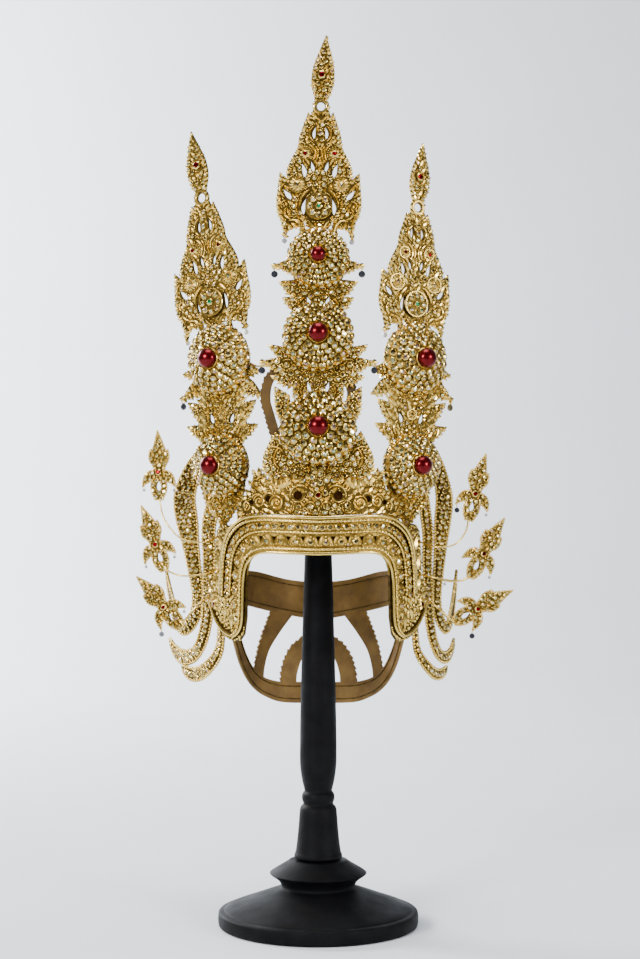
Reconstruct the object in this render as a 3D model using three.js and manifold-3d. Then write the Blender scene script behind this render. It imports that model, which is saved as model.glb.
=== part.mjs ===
// Three-spired dance headdress of gilded hide set with stones, on a turned wooden stand.
// Millimetres, +Z up. The face side looks towards -Y and the origin is the centre of the
// stand's underside.
import * as THREE from "three";
import { mergeVertices } from "three/addons/utils/BufferGeometryUtils.js";
import Module from "manifold-3d";

const wasm = await Module();
wasm.setup();

// Driving dimensions.
const PLATE = 2.6; // thickness of the gilded hide
const GAP = 0.3; // clearance between neighbouring pieces
const RING_RADIUS = 105; // outer face of the forehead band
const RING_CENTRE_Y = 10; // centre of the band's plan arc
const ROPE_RELIEF = 2.2; // how far a rope border stands out
const ROPE_WIDTH = 4.4;
const SPIRE_FOOT_Z = 400; // level the spires are measured from
const CENTRE_FOOT_Y = -87;
const CENTRE_LEAN = 7; // degrees the centre spire leans back
const SIDE_YAW = 30; // degrees each side spire turns outward
const FOOT_RADIUS = 90;
const HEAD_BOTTOM = 350; // the stand's hidden head board
const HEAD_TOP = 364;
const BACK_BREADTH = 90.4; // half axes of the back panel's plan
const BACK_DEPTH = 118.7;
const BACK_CENTRE_Y = -25;
const WIRE_RADIUS = 0.8;
const RING_WIRE = 0.45;
const JUMP_RING = 2.4;
const LEAF_STEPS = 4;
const CUT_STEPS = 3; // a pierced crescent is coarser than a leaf
const TALL = 20; // half height of the prisms a plate is cut from
const SHEET = 900; // wider than any plate
const GEM_SIDES = 12;
const BOSS_SIDES = 16;
const EYE_SIDES = 8; // small round openings

const GOLD = { color: 0xc79f45, metalness: 0.9, roughness: 0.35 };
const BROWN_GOLD = { color: 0x8f6a30, metalness: 0.4, roughness: 0.55 };
const RED_GLASS = { color: 0x8c0d14, metalness: 0.0, roughness: 0.08 };
const CRYSTAL = { color: 0xd9dee2, metalness: 0.3, roughness: 0.1 };
const BLACK_WOOD = { color: 0x15120f, metalness: 0.0, roughness: 0.5 };

const part = new THREE.Group();
part.name = "headdress";

function radians(degrees) {
  return THREE.MathUtils.degToRad(degrees);
}

function piece(name, geometry, look, group = part) {
  geometry.computeVertexNormals();
  const mesh = new THREE.Mesh(geometry, new THREE.MeshStandardMaterial(look));
  mesh.name = name;
  group.add(mesh);
}

function solidOf(geometry) {
  const bare = geometry.clone();
  bare.deleteAttribute("normal");
  bare.deleteAttribute("uv");
  const merged = mergeVertices(bare, 1e-4);
  return new wasm.Manifold(new wasm.Mesh({
    numProp: 3,
    vertProperties: new Float32Array(merged.attributes.position.array),
    triVerts: new Uint32Array(merged.index.array),
  }));
}

function geometryOf(solid) {
  const mesh = solid.getMesh();
  const geometry = new THREE.BufferGeometry();
  geometry.setAttribute("position", new THREE.BufferAttribute(mesh.vertProperties, 3));
  geometry.setIndex(new THREE.BufferAttribute(mesh.triVerts, 1));
  return geometry;
}

function join(solids) {
  return solids.reduce((whole, next) => whole.add(next));
}

// A solid lofted through rings of points that all have the same count and order.
function loft(rings) {
  const count = rings[0].length;
  const positions = rings.flat().flatMap((point) => [point.x, point.y, point.z]);
  const triangles = [];
  for (let row = 0; row + 1 < rings.length; row++) {
    for (let column = 0; column < count; column++) {
      const next = (column + 1) % count;
      const a = row * count + column;
      const b = row * count + next;
      triangles.push(a, b, a + count);
      triangles.push(b, b + count, a + count);
    }
  }
  const last = (rings.length - 1) * count;
  for (let column = 1; column + 1 < count; column++) {
    triangles.push(0, column + 1, column);
    triangles.push(last, last + column, last + column + 1);
  }
  const geometry = new THREE.BufferGeometry();
  geometry.setAttribute("position", new THREE.Float32BufferAttribute(positions, 3));
  geometry.setIndex(triangles);
  return outward(geometry);
}

// The same surface with its triangles facing out.
function outward(geometry) {
  const index = geometry.index.array;
  const at = geometry.attributes.position;
  const corner = [new THREE.Vector3(), new THREE.Vector3(), new THREE.Vector3()];
  let volume = 0;
  for (let start = 0; start < index.length; start += 3) {
    corner.forEach((point, offset) => point.fromBufferAttribute(at, index[start + offset]));
    volume += corner[0].dot(corner[1].clone().cross(corner[2]));
  }
  if (volume < 0) {
    for (let start = 0; start < index.length; start += 3) {
      const kept = index[start + 1];
      index[start + 1] = index[start + 2];
      index[start + 2] = kept;
    }
  }
  return geometry;
}

// A turned solid: rows of [radius, height] from the axis and back to it, standing on +Z.
function turned(profile, sides) {
  const points = profile.map(([radius, height]) => new THREE.Vector2(radius, height));
  const geometry = new THREE.LatheGeometry(points, sides);
  geometry.rotateX(Math.PI / 2);
  return geometryOf(solidOf(geometry));
}

// The spine of a kanok flame leaf: evenly spaced places with the heading at each.
function leafSpine({ x, y, length, angle, curl = 0 }, steps) {
  const spine = [];
  const at = new THREE.Vector2(x, y);
  for (let step = 0; step <= steps; step++) {
    const heading = radians(angle + (curl * step) / steps);
    const along = new THREE.Vector2(Math.cos(heading), Math.sin(heading));
    if (step > 0) {
      at.addScaledVector(along, length / steps);
    }
    spine.push({ at: at.clone(), along });
  }
  return spine;
}

// A flame leaf: blunt base, widest at a third of its length, curling to a point.
function leaf(row, side = 1, steps = LEAF_STEPS) {
  const left = [];
  const right = [];
  leafSpine(row, steps).forEach(({ at, along }, step) => {
    const t = step / steps;
    const swell = t < 0.33
      ? 0.45 + 0.55 * Math.sin((t / 0.33) * (Math.PI / 2))
      : Math.cos(((t - 0.33) / 0.67) * (Math.PI / 2)) ** 1.3;
    const half = (row.width / 2) * swell;
    left.push(new THREE.Vector2(side * (at.x - along.y * half), at.y + along.x * half));
    if (step < steps) {
      right.unshift(new THREE.Vector2(side * (at.x + along.y * half), at.y - along.x * half));
    }
  });
  return new THREE.Shape([...left, ...right]);
}

// The centre of the eyelet at a leaf's tip, on both sides of the axis.
function tipEyelets(row) {
  const { at } = leafSpine(row, LEAF_STEPS)[LEAF_STEPS];
  return [[at.x, at.y], [-at.x, at.y]];
}

function bothSides(rows, steps = LEAF_STEPS) {
  return rows.flatMap((row) => [leaf(row, 1, steps), leaf(row, -1, steps)]);
}

function disc(x, y, radius, sides = 16) {
  const points = [];
  for (let step = 0; step < sides; step++) {
    const turn = (2 * Math.PI * step) / sides;
    points.push(new THREE.Vector2(x + radius * Math.cos(turn), y + radius * Math.sin(turn)));
  }
  return new THREE.Shape(points);
}

function slab(shape, back, front) {
  const geometry = new THREE.ExtrudeGeometry(shape, { depth: front - back, bevelEnabled: false });
  geometry.translate(0, 0, back);
  return solidOf(geometry);
}

// A flat plate with its front face at the given level: tall prisms of the shapes are fused, the
// holes are cut through them, and one wide sheet keeps only the plate's thickness.
function plate(shapes, holes, front = 0) {
  const tall = (shape) => slab(shape, -TALL, TALL);
  const body = join(shapes.map(tall)).subtract(join(holes.map(tall)));
  const sheet = new THREE.BoxGeometry(SHEET, SHEET, PLATE);
  sheet.translate(0, 0, front - PLATE / 2);
  return body.intersect(solidOf(sheet));
}

// A straight-sided neck between two levels of a spire.
function neck({ low, high, lowHalf, highHalf }) {
  return new THREE.Shape([
    new THREE.Vector2(-lowHalf, low),
    new THREE.Vector2(lowHalf, low),
    new THREE.Vector2(highHalf, high),
    new THREE.Vector2(-highHalf, high),
  ]);
}

// A group that stands upright: its own x runs across, y up and z out of the face.
function upright(x, y, z, yaw, lean = 0, sway = 0) {
  const group = new THREE.Group();
  group.position.set(x, y, z);
  group.rotation.set(radians(90 - lean), radians(-sway), radians(yaw), "ZYX");
  group.updateMatrix();
  part.add(group);
  return group;
}

// A prism with its axis through the curved wall at an angle and height.
function wallCutter(shape, angle, z) {
  const geometry = new THREE.ExtrudeGeometry(shape, { depth: 4 * PLATE, bevelEnabled: false });
  const turn = radians(angle);
  geometry.translate(0, 0, -2 * PLATE);
  geometry.rotateX(Math.PI / 2);
  geometry.rotateZ(turn);
  const at = around(angle, z, RING_RADIUS - PLATE / 2);
  geometry.translate(at.x, at.y, at.z);
  return solidOf(geometry);
}

// A point of the crown's plan: degrees round from the front, height and distance from the axis.
function around(angle, z, radius) {
  const turn = radians(angle);
  return new THREE.Vector3(radius * Math.sin(turn), RING_CENTRE_Y - radius * Math.cos(turn), z);
}

// A flat strip swept along stations that each have a centre, a face direction and a width.
function strip(stations, thickness) {
  const rings = stations.map((station, index) => {
    const before = stations[Math.max(index - 1, 0)].centre;
    const after = stations[Math.min(index + 1, stations.length - 1)].centre;
    const along = after.clone().sub(before).normalize();
    const across = station.face.clone().cross(along).normalize().multiplyScalar(station.width / 2);
    const out = station.face.clone().multiplyScalar(thickness / 2);
    return [
      station.centre.clone().sub(across).sub(out),
      station.centre.clone().sub(across).add(out),
      station.centre.clone().add(across).add(out),
      station.centre.clone().add(across).sub(out),
    ];
  });
  return loft(rings);
}

// Evenly spaced stations on a smooth line through a table of [angle, z, radius, width, turn] rows.
// Turn is how many degrees the strip's face looks forward of straight out.
function stationsRound(rows, count, mirror = 1) {
  const line = new THREE.CatmullRomCurve3(
    rows.map(([angle, z, radius]) => new THREE.Vector3(angle, z, radius)),
    false,
    "centripetal",
  );
  const stations = [];
  for (let step = 0; step < count; step++) {
    const t = step / (count - 1);
    const at = line.getPoint(t);
    const slot = Math.min(Math.floor(t * (rows.length - 1)), rows.length - 2);
    const share = t * (rows.length - 1) - slot;
    const width = THREE.MathUtils.lerp(rows[slot][3], rows[slot + 1][3], share);
    const turn = THREE.MathUtils.lerp(rows[slot][4], rows[slot + 1][4], share);
    stations.push({
      centre: around(mirror * at.x, at.y, at.z),
      face: around(mirror * (at.x - turn), 0, 1).sub(new THREE.Vector3(0, RING_CENTRE_Y, 0)),
      width,
    });
  }
  return stations;
}

// Stand: a turned foot and column, and the plain board on top that takes the place of a head.
const FOOT_PROFILE = [
  [0, 0], [FOOT_RADIUS - 1.5, 0], [FOOT_RADIUS, 1.5], [FOOT_RADIUS, 12.2], [FOOT_RADIUS - 1.5, 13.6],
  [84, 14.4], [79, 17.5], [65, 22.5], [52, 27.5], [38, 32.5], [33, 36], [36, 41], [43.6, 47], [25.6, 59.2],
  [0, 59.2],
];
const COLUMN_PROFILE = [
  [0, 59.5], [21.6, 59.5], [21.6, 64.5], [20, 66], [18, 85], [17, 100], [16.3, 106], [13, 109.7],
  [14.8, 115.7], [13, 120.4], [11.6, 121.2], [14.6, 130], [16.4, 142], [16.7, 154], [16, 202],
  [12.4, 332], [11.5, HEAD_BOTTOM - GAP], [0, HEAD_BOTTOM - GAP],
];
piece("stand_foot", turned(FOOT_PROFILE, 24), BLACK_WOOD);
piece("stand_column", turned(COLUMN_PROFILE, 15), BLACK_WOOD);

const HEAD_ARC = 38; // degrees each side where the board meets the inside of the band
const HEAD_CLEARANCE = 0.4;
const HEAD_BREADTH = 64;
const HEAD_BACK_Y = 62;
const headPlan = [];
for (let angle = -HEAD_ARC; angle <= HEAD_ARC; angle += HEAD_ARC / 6) {
  const rim = around(angle, 0, RING_RADIUS - PLATE - HEAD_CLEARANCE);
  headPlan.push(new THREE.Vector2(rim.x, rim.y));
}
for (let turn = 0; turn <= 180; turn += 15) {
  const x = HEAD_BREADTH * Math.cos(radians(turn));
  headPlan.push(new THREE.Vector2(x, HEAD_BACK_Y * Math.sin(radians(turn))));
}
piece("stand_head", geometryOf(slab(new THREE.Shape(headPlan), HEAD_BOTTOM, HEAD_TOP)), BLACK_WOOD);

// Forehead band with its two lappets: a curved wall, rope borders and a row of pierced triangles.
// Rows are [degrees from the front, bottom edge, top edge].
const BAND_HALF = [
  [0, 336, 369], [8, 336.3, 369.5], [16, 337, 370], [23, 338, 370.6], [28, 338, 371], [32, 335, 370.5],
  [34.4, 330, 369.8], [35.6, 323, 369.6], [36, 318, 369.5], [36.3, 282, 369.4], [37.7, 267, 368.5],
  [40, 262, 366.5], [43.5, 260.6, 363.5], [48.5, 262.5, 360], [52, 265.5, 362], [55, 270, 361],
  [57.5, 274.5, 356], [59.2, 278, 340], [59.8, 279.5, 314], [63, 288.5, 311], [65.4, 296, 308],
  [67, 302, 305],
];
const bandRows = [
  ...BAND_HALF.slice(1).reverse().map(([angle, bottom, top]) => [-angle, bottom, top]),
  ...BAND_HALF,
];
// The height a table's column has at an angle, straight between its rows.
function heightAt(rows, angle, column) {
  const after = rows.findIndex((row) => row[0] >= angle);
  const from = rows[Math.max(after - 1, 0)];
  const to = rows[after];
  const share = to[0] === from[0] ? 0 : (angle - from[0]) / (to[0] - from[0]);
  return THREE.MathUtils.lerp(from[column], to[column], share);
}
function curvedWall(rows) {
  const inner = RING_RADIUS - PLATE;
  return loft(rows.map(([angle, bottom, top]) => [
    around(angle, bottom, inner),
    around(angle, bottom, RING_RADIUS),
    around(angle, top, RING_RADIUS),
    around(angle, top, inner),
  ]));
}
function ropeOn(half, count) {
  const radius = RING_RADIUS + ROPE_RELIEF / 2 - 0.4;
  const mirrored = half.slice(1).reverse().map(([angle, z]) => [-angle, z, radius, ROPE_WIDTH, 0]);
  const rows = [...mirrored, ...half.map(([angle, z]) => [angle, z, radius, ROPE_WIDTH, 0])];
  return solidOf(strip(stationsRound(rows, count), ROPE_RELIEF + 0.8));
}
// Rope lines are [degrees from the front, height].
const FACE_ROPE = [
  [0, 339.4], [15, 340.2], [26, 341], [31, 338.5], [36, 331], [38.2, 318], [38.6, 292], [39, 276],
  [41, 268.5], [44, 265], [50, 268], [56, 276], [61, 287],
];
const TOP_ROPE = [
  [0, 366], [15, 367], [29, 368], [36, 366], [42, 360.5], [47, 352], [50, 340], [51.4, 322], [52.4, 299],
];
const TRIANGLE_SIZE = 4.2;
const triangle = new THREE.Shape([
  new THREE.Vector2(-TRIANGLE_SIZE / 2, TRIANGLE_SIZE / 2),
  new THREE.Vector2(0, -TRIANGLE_SIZE / 2),
  new THREE.Vector2(TRIANGLE_SIZE / 2, TRIANGLE_SIZE / 2),
]);
const TRIANGLE_Z = 350;
const TRIANGLE_STEP = 7; // degrees between triangles
const bandGaps = [];
for (let step = -4; step <= 4; step++) {
  bandGaps.push(wallCutter(triangle, step * TRIANGLE_STEP, TRIANGLE_Z));
}
const bandSolid = join([
  solidOf(curvedWall(bandRows)),
  ropeOn(FACE_ROPE, 27),
  ropeOn(TOP_ROPE, 17),
]).subtract(join(bandGaps));
piece("forehead_band", geometryOf(bandSolid), GOLD);

// Front crest: a scroll-topped panel standing on the band, in the same curve.
// Rows are [degrees from the front, top edge].
const CREST_TOPS = [
  [0, 409], [3, 406], [6.5, 399], [10, 401], [14, 398], [18, 394], [22, 397], [26, 402], [29.5, 409],
  [32, 405], [34, 391], [39, 383], [42, 374],
];
const crestAngles = [...BAND_HALF, ...CREST_TOPS].map((row) => row[0]);
const crestHalf = [...new Set(crestAngles)]
  .filter((angle) => angle <= CREST_TOPS[CREST_TOPS.length - 1][0])
  .sort((first, second) => first - second)
  .map((angle) => [angle, heightAt(BAND_HALF, angle, 2) + GAP, heightAt(CREST_TOPS, angle, 1)]);
const crestRows = [
  ...crestHalf.slice(1).reverse().map(([angle, bottom, top]) => [-angle, bottom, top]),
  ...crestHalf,
];
// Round openings in the scrolls: [degrees from the front, height, radius].
const CREST_EYES = [[9.5, 387, 4], [24, 384, 3], [33, 381, 2.4]];
const crestEyes = CREST_EYES.flatMap(([angle, z, radius]) => [
  wallCutter(disc(0, 0, radius, EYE_SIDES), angle, z),
  wallCutter(disc(0, 0, radius, EYE_SIDES), -angle, z),
]);
piece("front_crest", geometryOf(solidOf(curvedWall(crestRows)).subtract(join(crestEyes))), GOLD);

// Back panel: a plain frame that curves round the nape, with toothed struts and a middle leaf.
function backStations(rows, count, mirror, tooth) {
  const places = rows.map(([angle, z, width]) => new THREE.Vector3(angle, z, width));
  const line = new THREE.CatmullRomCurve3(places);
  const stations = [];
  for (let step = 0; step < count; step++) {
    const at = line.getPoint(step / (count - 1));
    const turn = radians(mirror * at.x);
    const x = BACK_BREADTH * Math.sin(turn);
    const y = BACK_CENTRE_Y + BACK_DEPTH * Math.cos(turn);
    const face = new THREE.Vector3(Math.sin(turn) / BACK_BREADTH, Math.cos(turn) / BACK_DEPTH, 0);
    stations.push({
      centre: new THREE.Vector3(x, y, at.y),
      face: face.normalize(),
      width: at.z + (step % 2) * tooth,
    });
  }
  return stations;
}
function mirrorRows(half) {
  return [...half.slice(1).reverse().map(([angle, z, width]) => [-angle, z, width]), ...half];
}
// Rows are [degrees from the back, height, width].
const BACK_TOP = [[0, 286, 35], [20, 290, 33], [43, 299, 33], [58, 302, 26], [75, 303, 16], [95, 303, 9]];
const BACK_RIM = [
  [0, 199, 20], [20, 200, 19.5], [30, 204, 17], [38, 210.5, 15], [45, 221, 13.5],
  [51, 236, 13], [56.5, 255, 12.5], [63, 276, 12], [72, 292, 10], [86, 302, 8],
];
const BACK_STRUT = [[20.6, 280, 22], [28.6, 260, 17], [34.4, 242.6, 13], [37.5, 224, 11.5], [38, 208, 11]];
const BACK_LEAF = [[0, 248, 15], [12, 239, 15], [17.5, 220, 16], [18, 200, 15]];
const BACK_TOOTH = 2; // how far every second station of a toothed edge stands out
function backStrip(rows, count, mirror, tooth) {
  return solidOf(strip(backStations(rows, count, mirror, tooth), PLATE));
}
const backSolid = join([
  backStrip(mirrorRows(BACK_TOP), 15, 1, 0),
  backStrip(mirrorRows(BACK_RIM), 23, 1, 0),
  backStrip(BACK_STRUT, 10, 1, BACK_TOOTH),
  backStrip(BACK_STRUT, 10, -1, BACK_TOOTH),
  backStrip(mirrorRows(BACK_LEAF), 13, 1, BACK_TOOTH),
]);
piece("back_panel", geometryOf(backSolid), BROWN_GOLD);

// Bosses: stepped domes, each carrying a round red stone.
const BOSS_TIERS = 4;
const BOSS_RIM = 7; // plain wall below the tiers
const BOSS_MARGIN = 0.5; // how far the plate shows round a boss
const GEM_COLLAR = 0.6;
const BOSS_BATTER = 1.3; // how far each tier's wall leans in
function bossGeometry(radius, height, seat) {
  const profile = [[0, 0], [radius, 0], [radius, BOSS_RIM]];
  for (let tier = 0; tier < BOSS_TIERS; tier++) {
    const from = THREE.MathUtils.lerp(radius - 1.4, seat + BOSS_BATTER, tier / BOSS_TIERS);
    const low = THREE.MathUtils.lerp(BOSS_RIM, height, tier / BOSS_TIERS);
    const high = THREE.MathUtils.lerp(BOSS_RIM, height, (tier + 1) / BOSS_TIERS);
    profile.push([from, low], [from - BOSS_BATTER, high]);
  }
  profile.push([seat, height], [0, height]);
  return turned(profile, BOSS_SIDES);
}
function gemGeometry(radius) {
  return turned([
    [0, 0], [0.82 * radius, 0], [radius, 0.4 * radius], [0.9 * radius, 0.8 * radius],
    [0.56 * radius, 1.12 * radius], [0, 1.25 * radius],
  ], GEM_SIDES);
}
function bossAndGem(spire, level, group, [y, radius, height, gemRadius]) {
  const boss = bossGeometry(radius, height, gemRadius + GEM_COLLAR);
  boss.translate(0, y, GAP);
  piece(`${spire}_boss_${level}`, boss, GOLD, group);
  const gem = gemGeometry(gemRadius);
  gem.translate(0, y, height + 2 * GAP);
  piece(`${spire}_gem_${level}`, gem, RED_GLASS, group);
}

// Drops: a faceted bead on a jump ring that runs through an eyelet at a leaf's tip.
const EYELET_RADIUS = 2;
const EYELET_HOLE = 1.1;
const DROP_RADIUS = 3.1;
function dropGeometry(x, y, front) {
  const ring = new THREE.TorusGeometry(JUMP_RING, RING_WIRE, 5, 8);
  ring.rotateY(Math.PI / 2);
  const bead = new THREE.LatheGeometry([
    new THREE.Vector2(0, -1.5), new THREE.Vector2(DROP_RADIUS, 0.2),
    new THREE.Vector2(0.6 * DROP_RADIUS, 1.5), new THREE.Vector2(0, 1.5),
  ], 10);
  bead.rotateX(Math.PI / 2);
  bead.translate(0, -JUMP_RING - DROP_RADIUS + 0.3, 0);
  const geometry = geometryOf(solidOf(ring).add(solidOf(bead)));
  geometry.translate(x, y - JUMP_RING, front - PLATE / 2);
  return geometry;
}
function eyelets(points) {
  return {
    rims: points.map(([x, y]) => disc(x, y, EYELET_RADIUS, EYE_SIDES)),
    holes: points.map(([x, y]) => disc(x, y, EYELET_HOLE, 6)),
  };
}

// Crest of a spire: flame leaves round a stone boss, pierced with crescents, up to the finial.
// It is fixed behind the plate, and its own y is measured from the top boss's upper edge.
const CREST_FRONT = -PLATE - GAP;
const CREST_STEMS = [
  { x: 2.5, y: -16, length: 32, width: 7, angle: 95 },
  { x: 13, y: -16, length: 34, width: 7, angle: 88 },
];
const CREST_LEAVES = [
  { x: 21, y: 8, length: 48, width: 25, angle: 82, curl: -14 },
  { x: 14, y: 40, length: 36, width: 26, angle: 74, curl: 14 },
  { x: 7, y: 62, length: 43, width: 22, angle: 85 },
];
const CREST_HEARTS = [
  { x: 0, y: 8, length: 74, width: 40, angle: 90 },
  { x: 0, y: 62, length: 60, width: 28, angle: 90 },
];
const MEDALLION_Y = 25; // raised round setting in the middle of the crest
const MEDALLION_RADIUS = 11.8;
const MEDALLION_RELIEF = 3;
const SIDE_SETTING = { x: 19.5, y: 43.3, radius: 8.4 }; // round setting at each side of the crest
const CREST_TAIL = { x: 25, y: 20, length: 19, width: 12, angle: -79, curl: 4 };
const CREST_CUTS = [
  { x: 13, y: 18.6, length: 14.5, width: 4.2, angle: 66, curl: 48 },
  { x: 24, y: 31.5, length: 11, width: 5, angle: 40, curl: 12 },
  { x: 13, y: 50, length: 12.5, width: 4.8, angle: 104, curl: -42 },
  { x: 5.2, y: 55, length: 9, width: 3.8, angle: 75 },
  { x: 5.2, y: 82.5, length: 11, width: 3.6, angle: 66, curl: 46 },
];
const FINIAL_Y = 110; // centre of the round eye below the finial
const FINIAL_EYE = 4.2;
const FINIAL_EYE_RIM = 3;
const FINIAL = { x: 0, y: FINIAL_Y + 4.5, width: 21 };
// Scale is [across, up], and the crest and then its finial tip by some degrees towards +x.
function crestGeometry([across, up], crestTip, finialTip, finialLength) {
  const tails = eyelets(tipEyelets(CREST_TAIL));
  const shapes = [
    ...bothSides([...CREST_STEMS, ...CREST_LEAVES, CREST_TAIL]),
    ...CREST_HEARTS.map((row) => leaf(row)),
    disc(0, FINIAL_Y, FINIAL_EYE + FINIAL_EYE_RIM, GEM_SIDES),
    leaf({ ...FINIAL, length: finialLength, angle: 90 - finialTip }),
    disc(SIDE_SETTING.x, SIDE_SETTING.y, SIDE_SETTING.radius, EYE_SIDES),
    disc(-SIDE_SETTING.x, SIDE_SETTING.y, SIDE_SETTING.radius, EYE_SIDES),
    ...tails.rims,
  ];
  const eye = disc(0, FINIAL_Y, FINIAL_EYE, EYE_SIDES);
  const flat = plate(shapes, [...bothSides(CREST_CUTS, CUT_STEPS), eye, ...tails.holes], CREST_FRONT);
  const medallion = disc(0, MEDALLION_Y, MEDALLION_RADIUS);
  const raised = slab(medallion, CREST_FRONT - PLATE / 2, CREST_FRONT + MEDALLION_RELIEF);
  const geometry = geometryOf(flat.add(raised));
  geometry.scale(across, up, 1);
  geometry.rotateZ(-radians(crestTip));
  return geometry;
}

// Centre spire. Boss rows are [y, radius, height, gem radius].
const centreSpire = upright(0, CENTRE_FOOT_Y, SPIRE_FOOT_Z, 0, CENTRE_LEAN);
const CENTRE_LEAVES = [
  { x: 33.5, y: 1, length: 42, width: 28, angle: 88, curl: -4 },
  { x: 8, y: 8, length: 41, width: 17, angle: 2 },
  { x: 18, y: 50, length: 37, width: 22, angle: 55, curl: 5 },
  { x: 18, y: 88, length: 22, width: 14, angle: 6 },
  { x: 20, y: 104, length: 27, width: 12, angle: 32 },
  { x: 10, y: 150, length: 23, width: 14, angle: 24 },
  { x: 12, y: 164, length: 24, width: 15, angle: 24 },
];
const CENTRE_FLAMES = [
  { x: 15, y: 183, length: 24, width: 12, angle: 40, curl: -45 },
  { x: 20, y: 98, length: 29, width: 14, angle: 14, curl: -6 },
];
const CENTRE_BOSSES = {
  low: [44, 31, 18.5, 8.6],
  mid: [125, 29, 18, 8.4],
  top: [193.5, 25.5, 16.5, 6.6],
};
const CENTRE_EYELETS = CENTRE_FLAMES.flatMap(tipEyelets);
const centreEyelets = eyelets(CENTRE_EYELETS);
const TANG_FOOT = (HEAD_TOP + GAP - SPIRE_FOOT_Z) / Math.cos(radians(CENTRE_LEAN)) + GAP;
const TANG = { low: TANG_FOOT, high: 20, lowHalf: 11, highHalf: 11 };
const CENTRE_NECK = { low: 60, high: 175, lowHalf: 22, highHalf: 20 };
const centreShapes = [
  ...Object.values(CENTRE_BOSSES).map(([y, radius]) => disc(0, y, radius + BOSS_MARGIN)),
  neck(TANG),
  neck(CENTRE_NECK),
  ...bothSides([...CENTRE_LEAVES, ...CENTRE_FLAMES]),
  ...centreEyelets.rims,
];
const CENTRE_CUTS = [
  { x: 20, y: 66, length: 10, width: 5, angle: 60 },
  { x: 7, y: 77, length: 9, width: 4, angle: 75 },
  { x: 7, y: 153, length: 8, width: 4, angle: 70 },
];
const centreHoles = [...bothSides(CENTRE_CUTS, CUT_STEPS), ...centreEyelets.holes];
piece("centre_plate", geometryOf(plate(centreShapes, centreHoles)), GOLD, centreSpire);
for (const [level, row] of Object.entries(CENTRE_BOSSES)) {
  bossAndGem("centre", level, centreSpire, row);
}
const CENTRE_CREST_Y = 214;
const CENTRE_CREST_SCALE = [1, 1.065];
const CENTRE_CREST_TIP = 1.2;
const CENTRE_FINIAL_TIP = 3.5;
const CENTRE_FINIAL = 56.5;
const centreCrest = crestGeometry(CENTRE_CREST_SCALE, CENTRE_CREST_TIP, CENTRE_FINIAL_TIP, CENTRE_FINIAL);
centreCrest.translate(0, CENTRE_CREST_Y, 0);
piece("centre_crest", centreCrest, GOLD, centreSpire);
CENTRE_EYELETS.forEach(([x, y], index) => {
  piece(`centre_drop_${index + 1}`, dropGeometry(x, y, 0), CRYSTAL, centreSpire);
});

// Back brace: a plain arched strip behind the centre spire, toothed along its edge.
// Rows are [x, y] in the spire's own plane.
const BRACE_LINE = [
  [-30, 3], [-34, 30], [-41, 55], [-45, 71], [-42, 88], [-30, 99], [-8, 105], [14, 99], [27, 84],
  [29, 62], [25, 36], [20, 3],
];
const BRACE_WIDTH = 8;
const BRACE_TOOTH = 1.6;
const braceLine = new THREE.CatmullRomCurve3(BRACE_LINE.map(([x, y]) => new THREE.Vector3(x, y, 0)));
const braceStations = braceLine.getPoints(24).map((centre, index) => ({
  centre,
  face: new THREE.Vector3(0, 0, 1),
  width: BRACE_WIDTH + (index % 2) * BRACE_TOOTH,
}));
const brace = geometryOf(solidOf(strip(braceStations, PLATE)));
brace.translate(0, 0, -PLATE - GAP - PLATE / 2);
piece("back_brace", brace, BROWN_GOLD, centreSpire);

// Side spires: the same make with two bosses, standing on the band above the lappets.
const SIDE_BOSSES = {
  low: [13, 26.5, 17.5, 8.4],
  top: [106, 29, 18, 8.6],
};
const SIDE_LEAVES = [
  { x: 6, y: 36, length: 40, width: 26, angle: 66 },
  { x: 16, y: 40, length: 22, width: 11, angle: 22 },
  { x: 15, y: 54, length: 25, width: 14, angle: 38 },
  { x: 18, y: 96, length: 22, width: 12, angle: -4 },
];
const SIDE_FLAME = { x: 16, y: 86, length: 28, width: 14, angle: -18, curl: -14 };
const SIDE_CUT = { x: 9, y: 50, length: 10, width: 5, angle: 70 };
const SIDE_NECK = { low: 30, high: 90, lowHalf: 16, highHalf: 20 };
const SIDE_APRON = { x: 0, y: 12, length: 53.5, width: 46, angle: -90 };
const SIDE_CREST_Y = 129.5;
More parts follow.
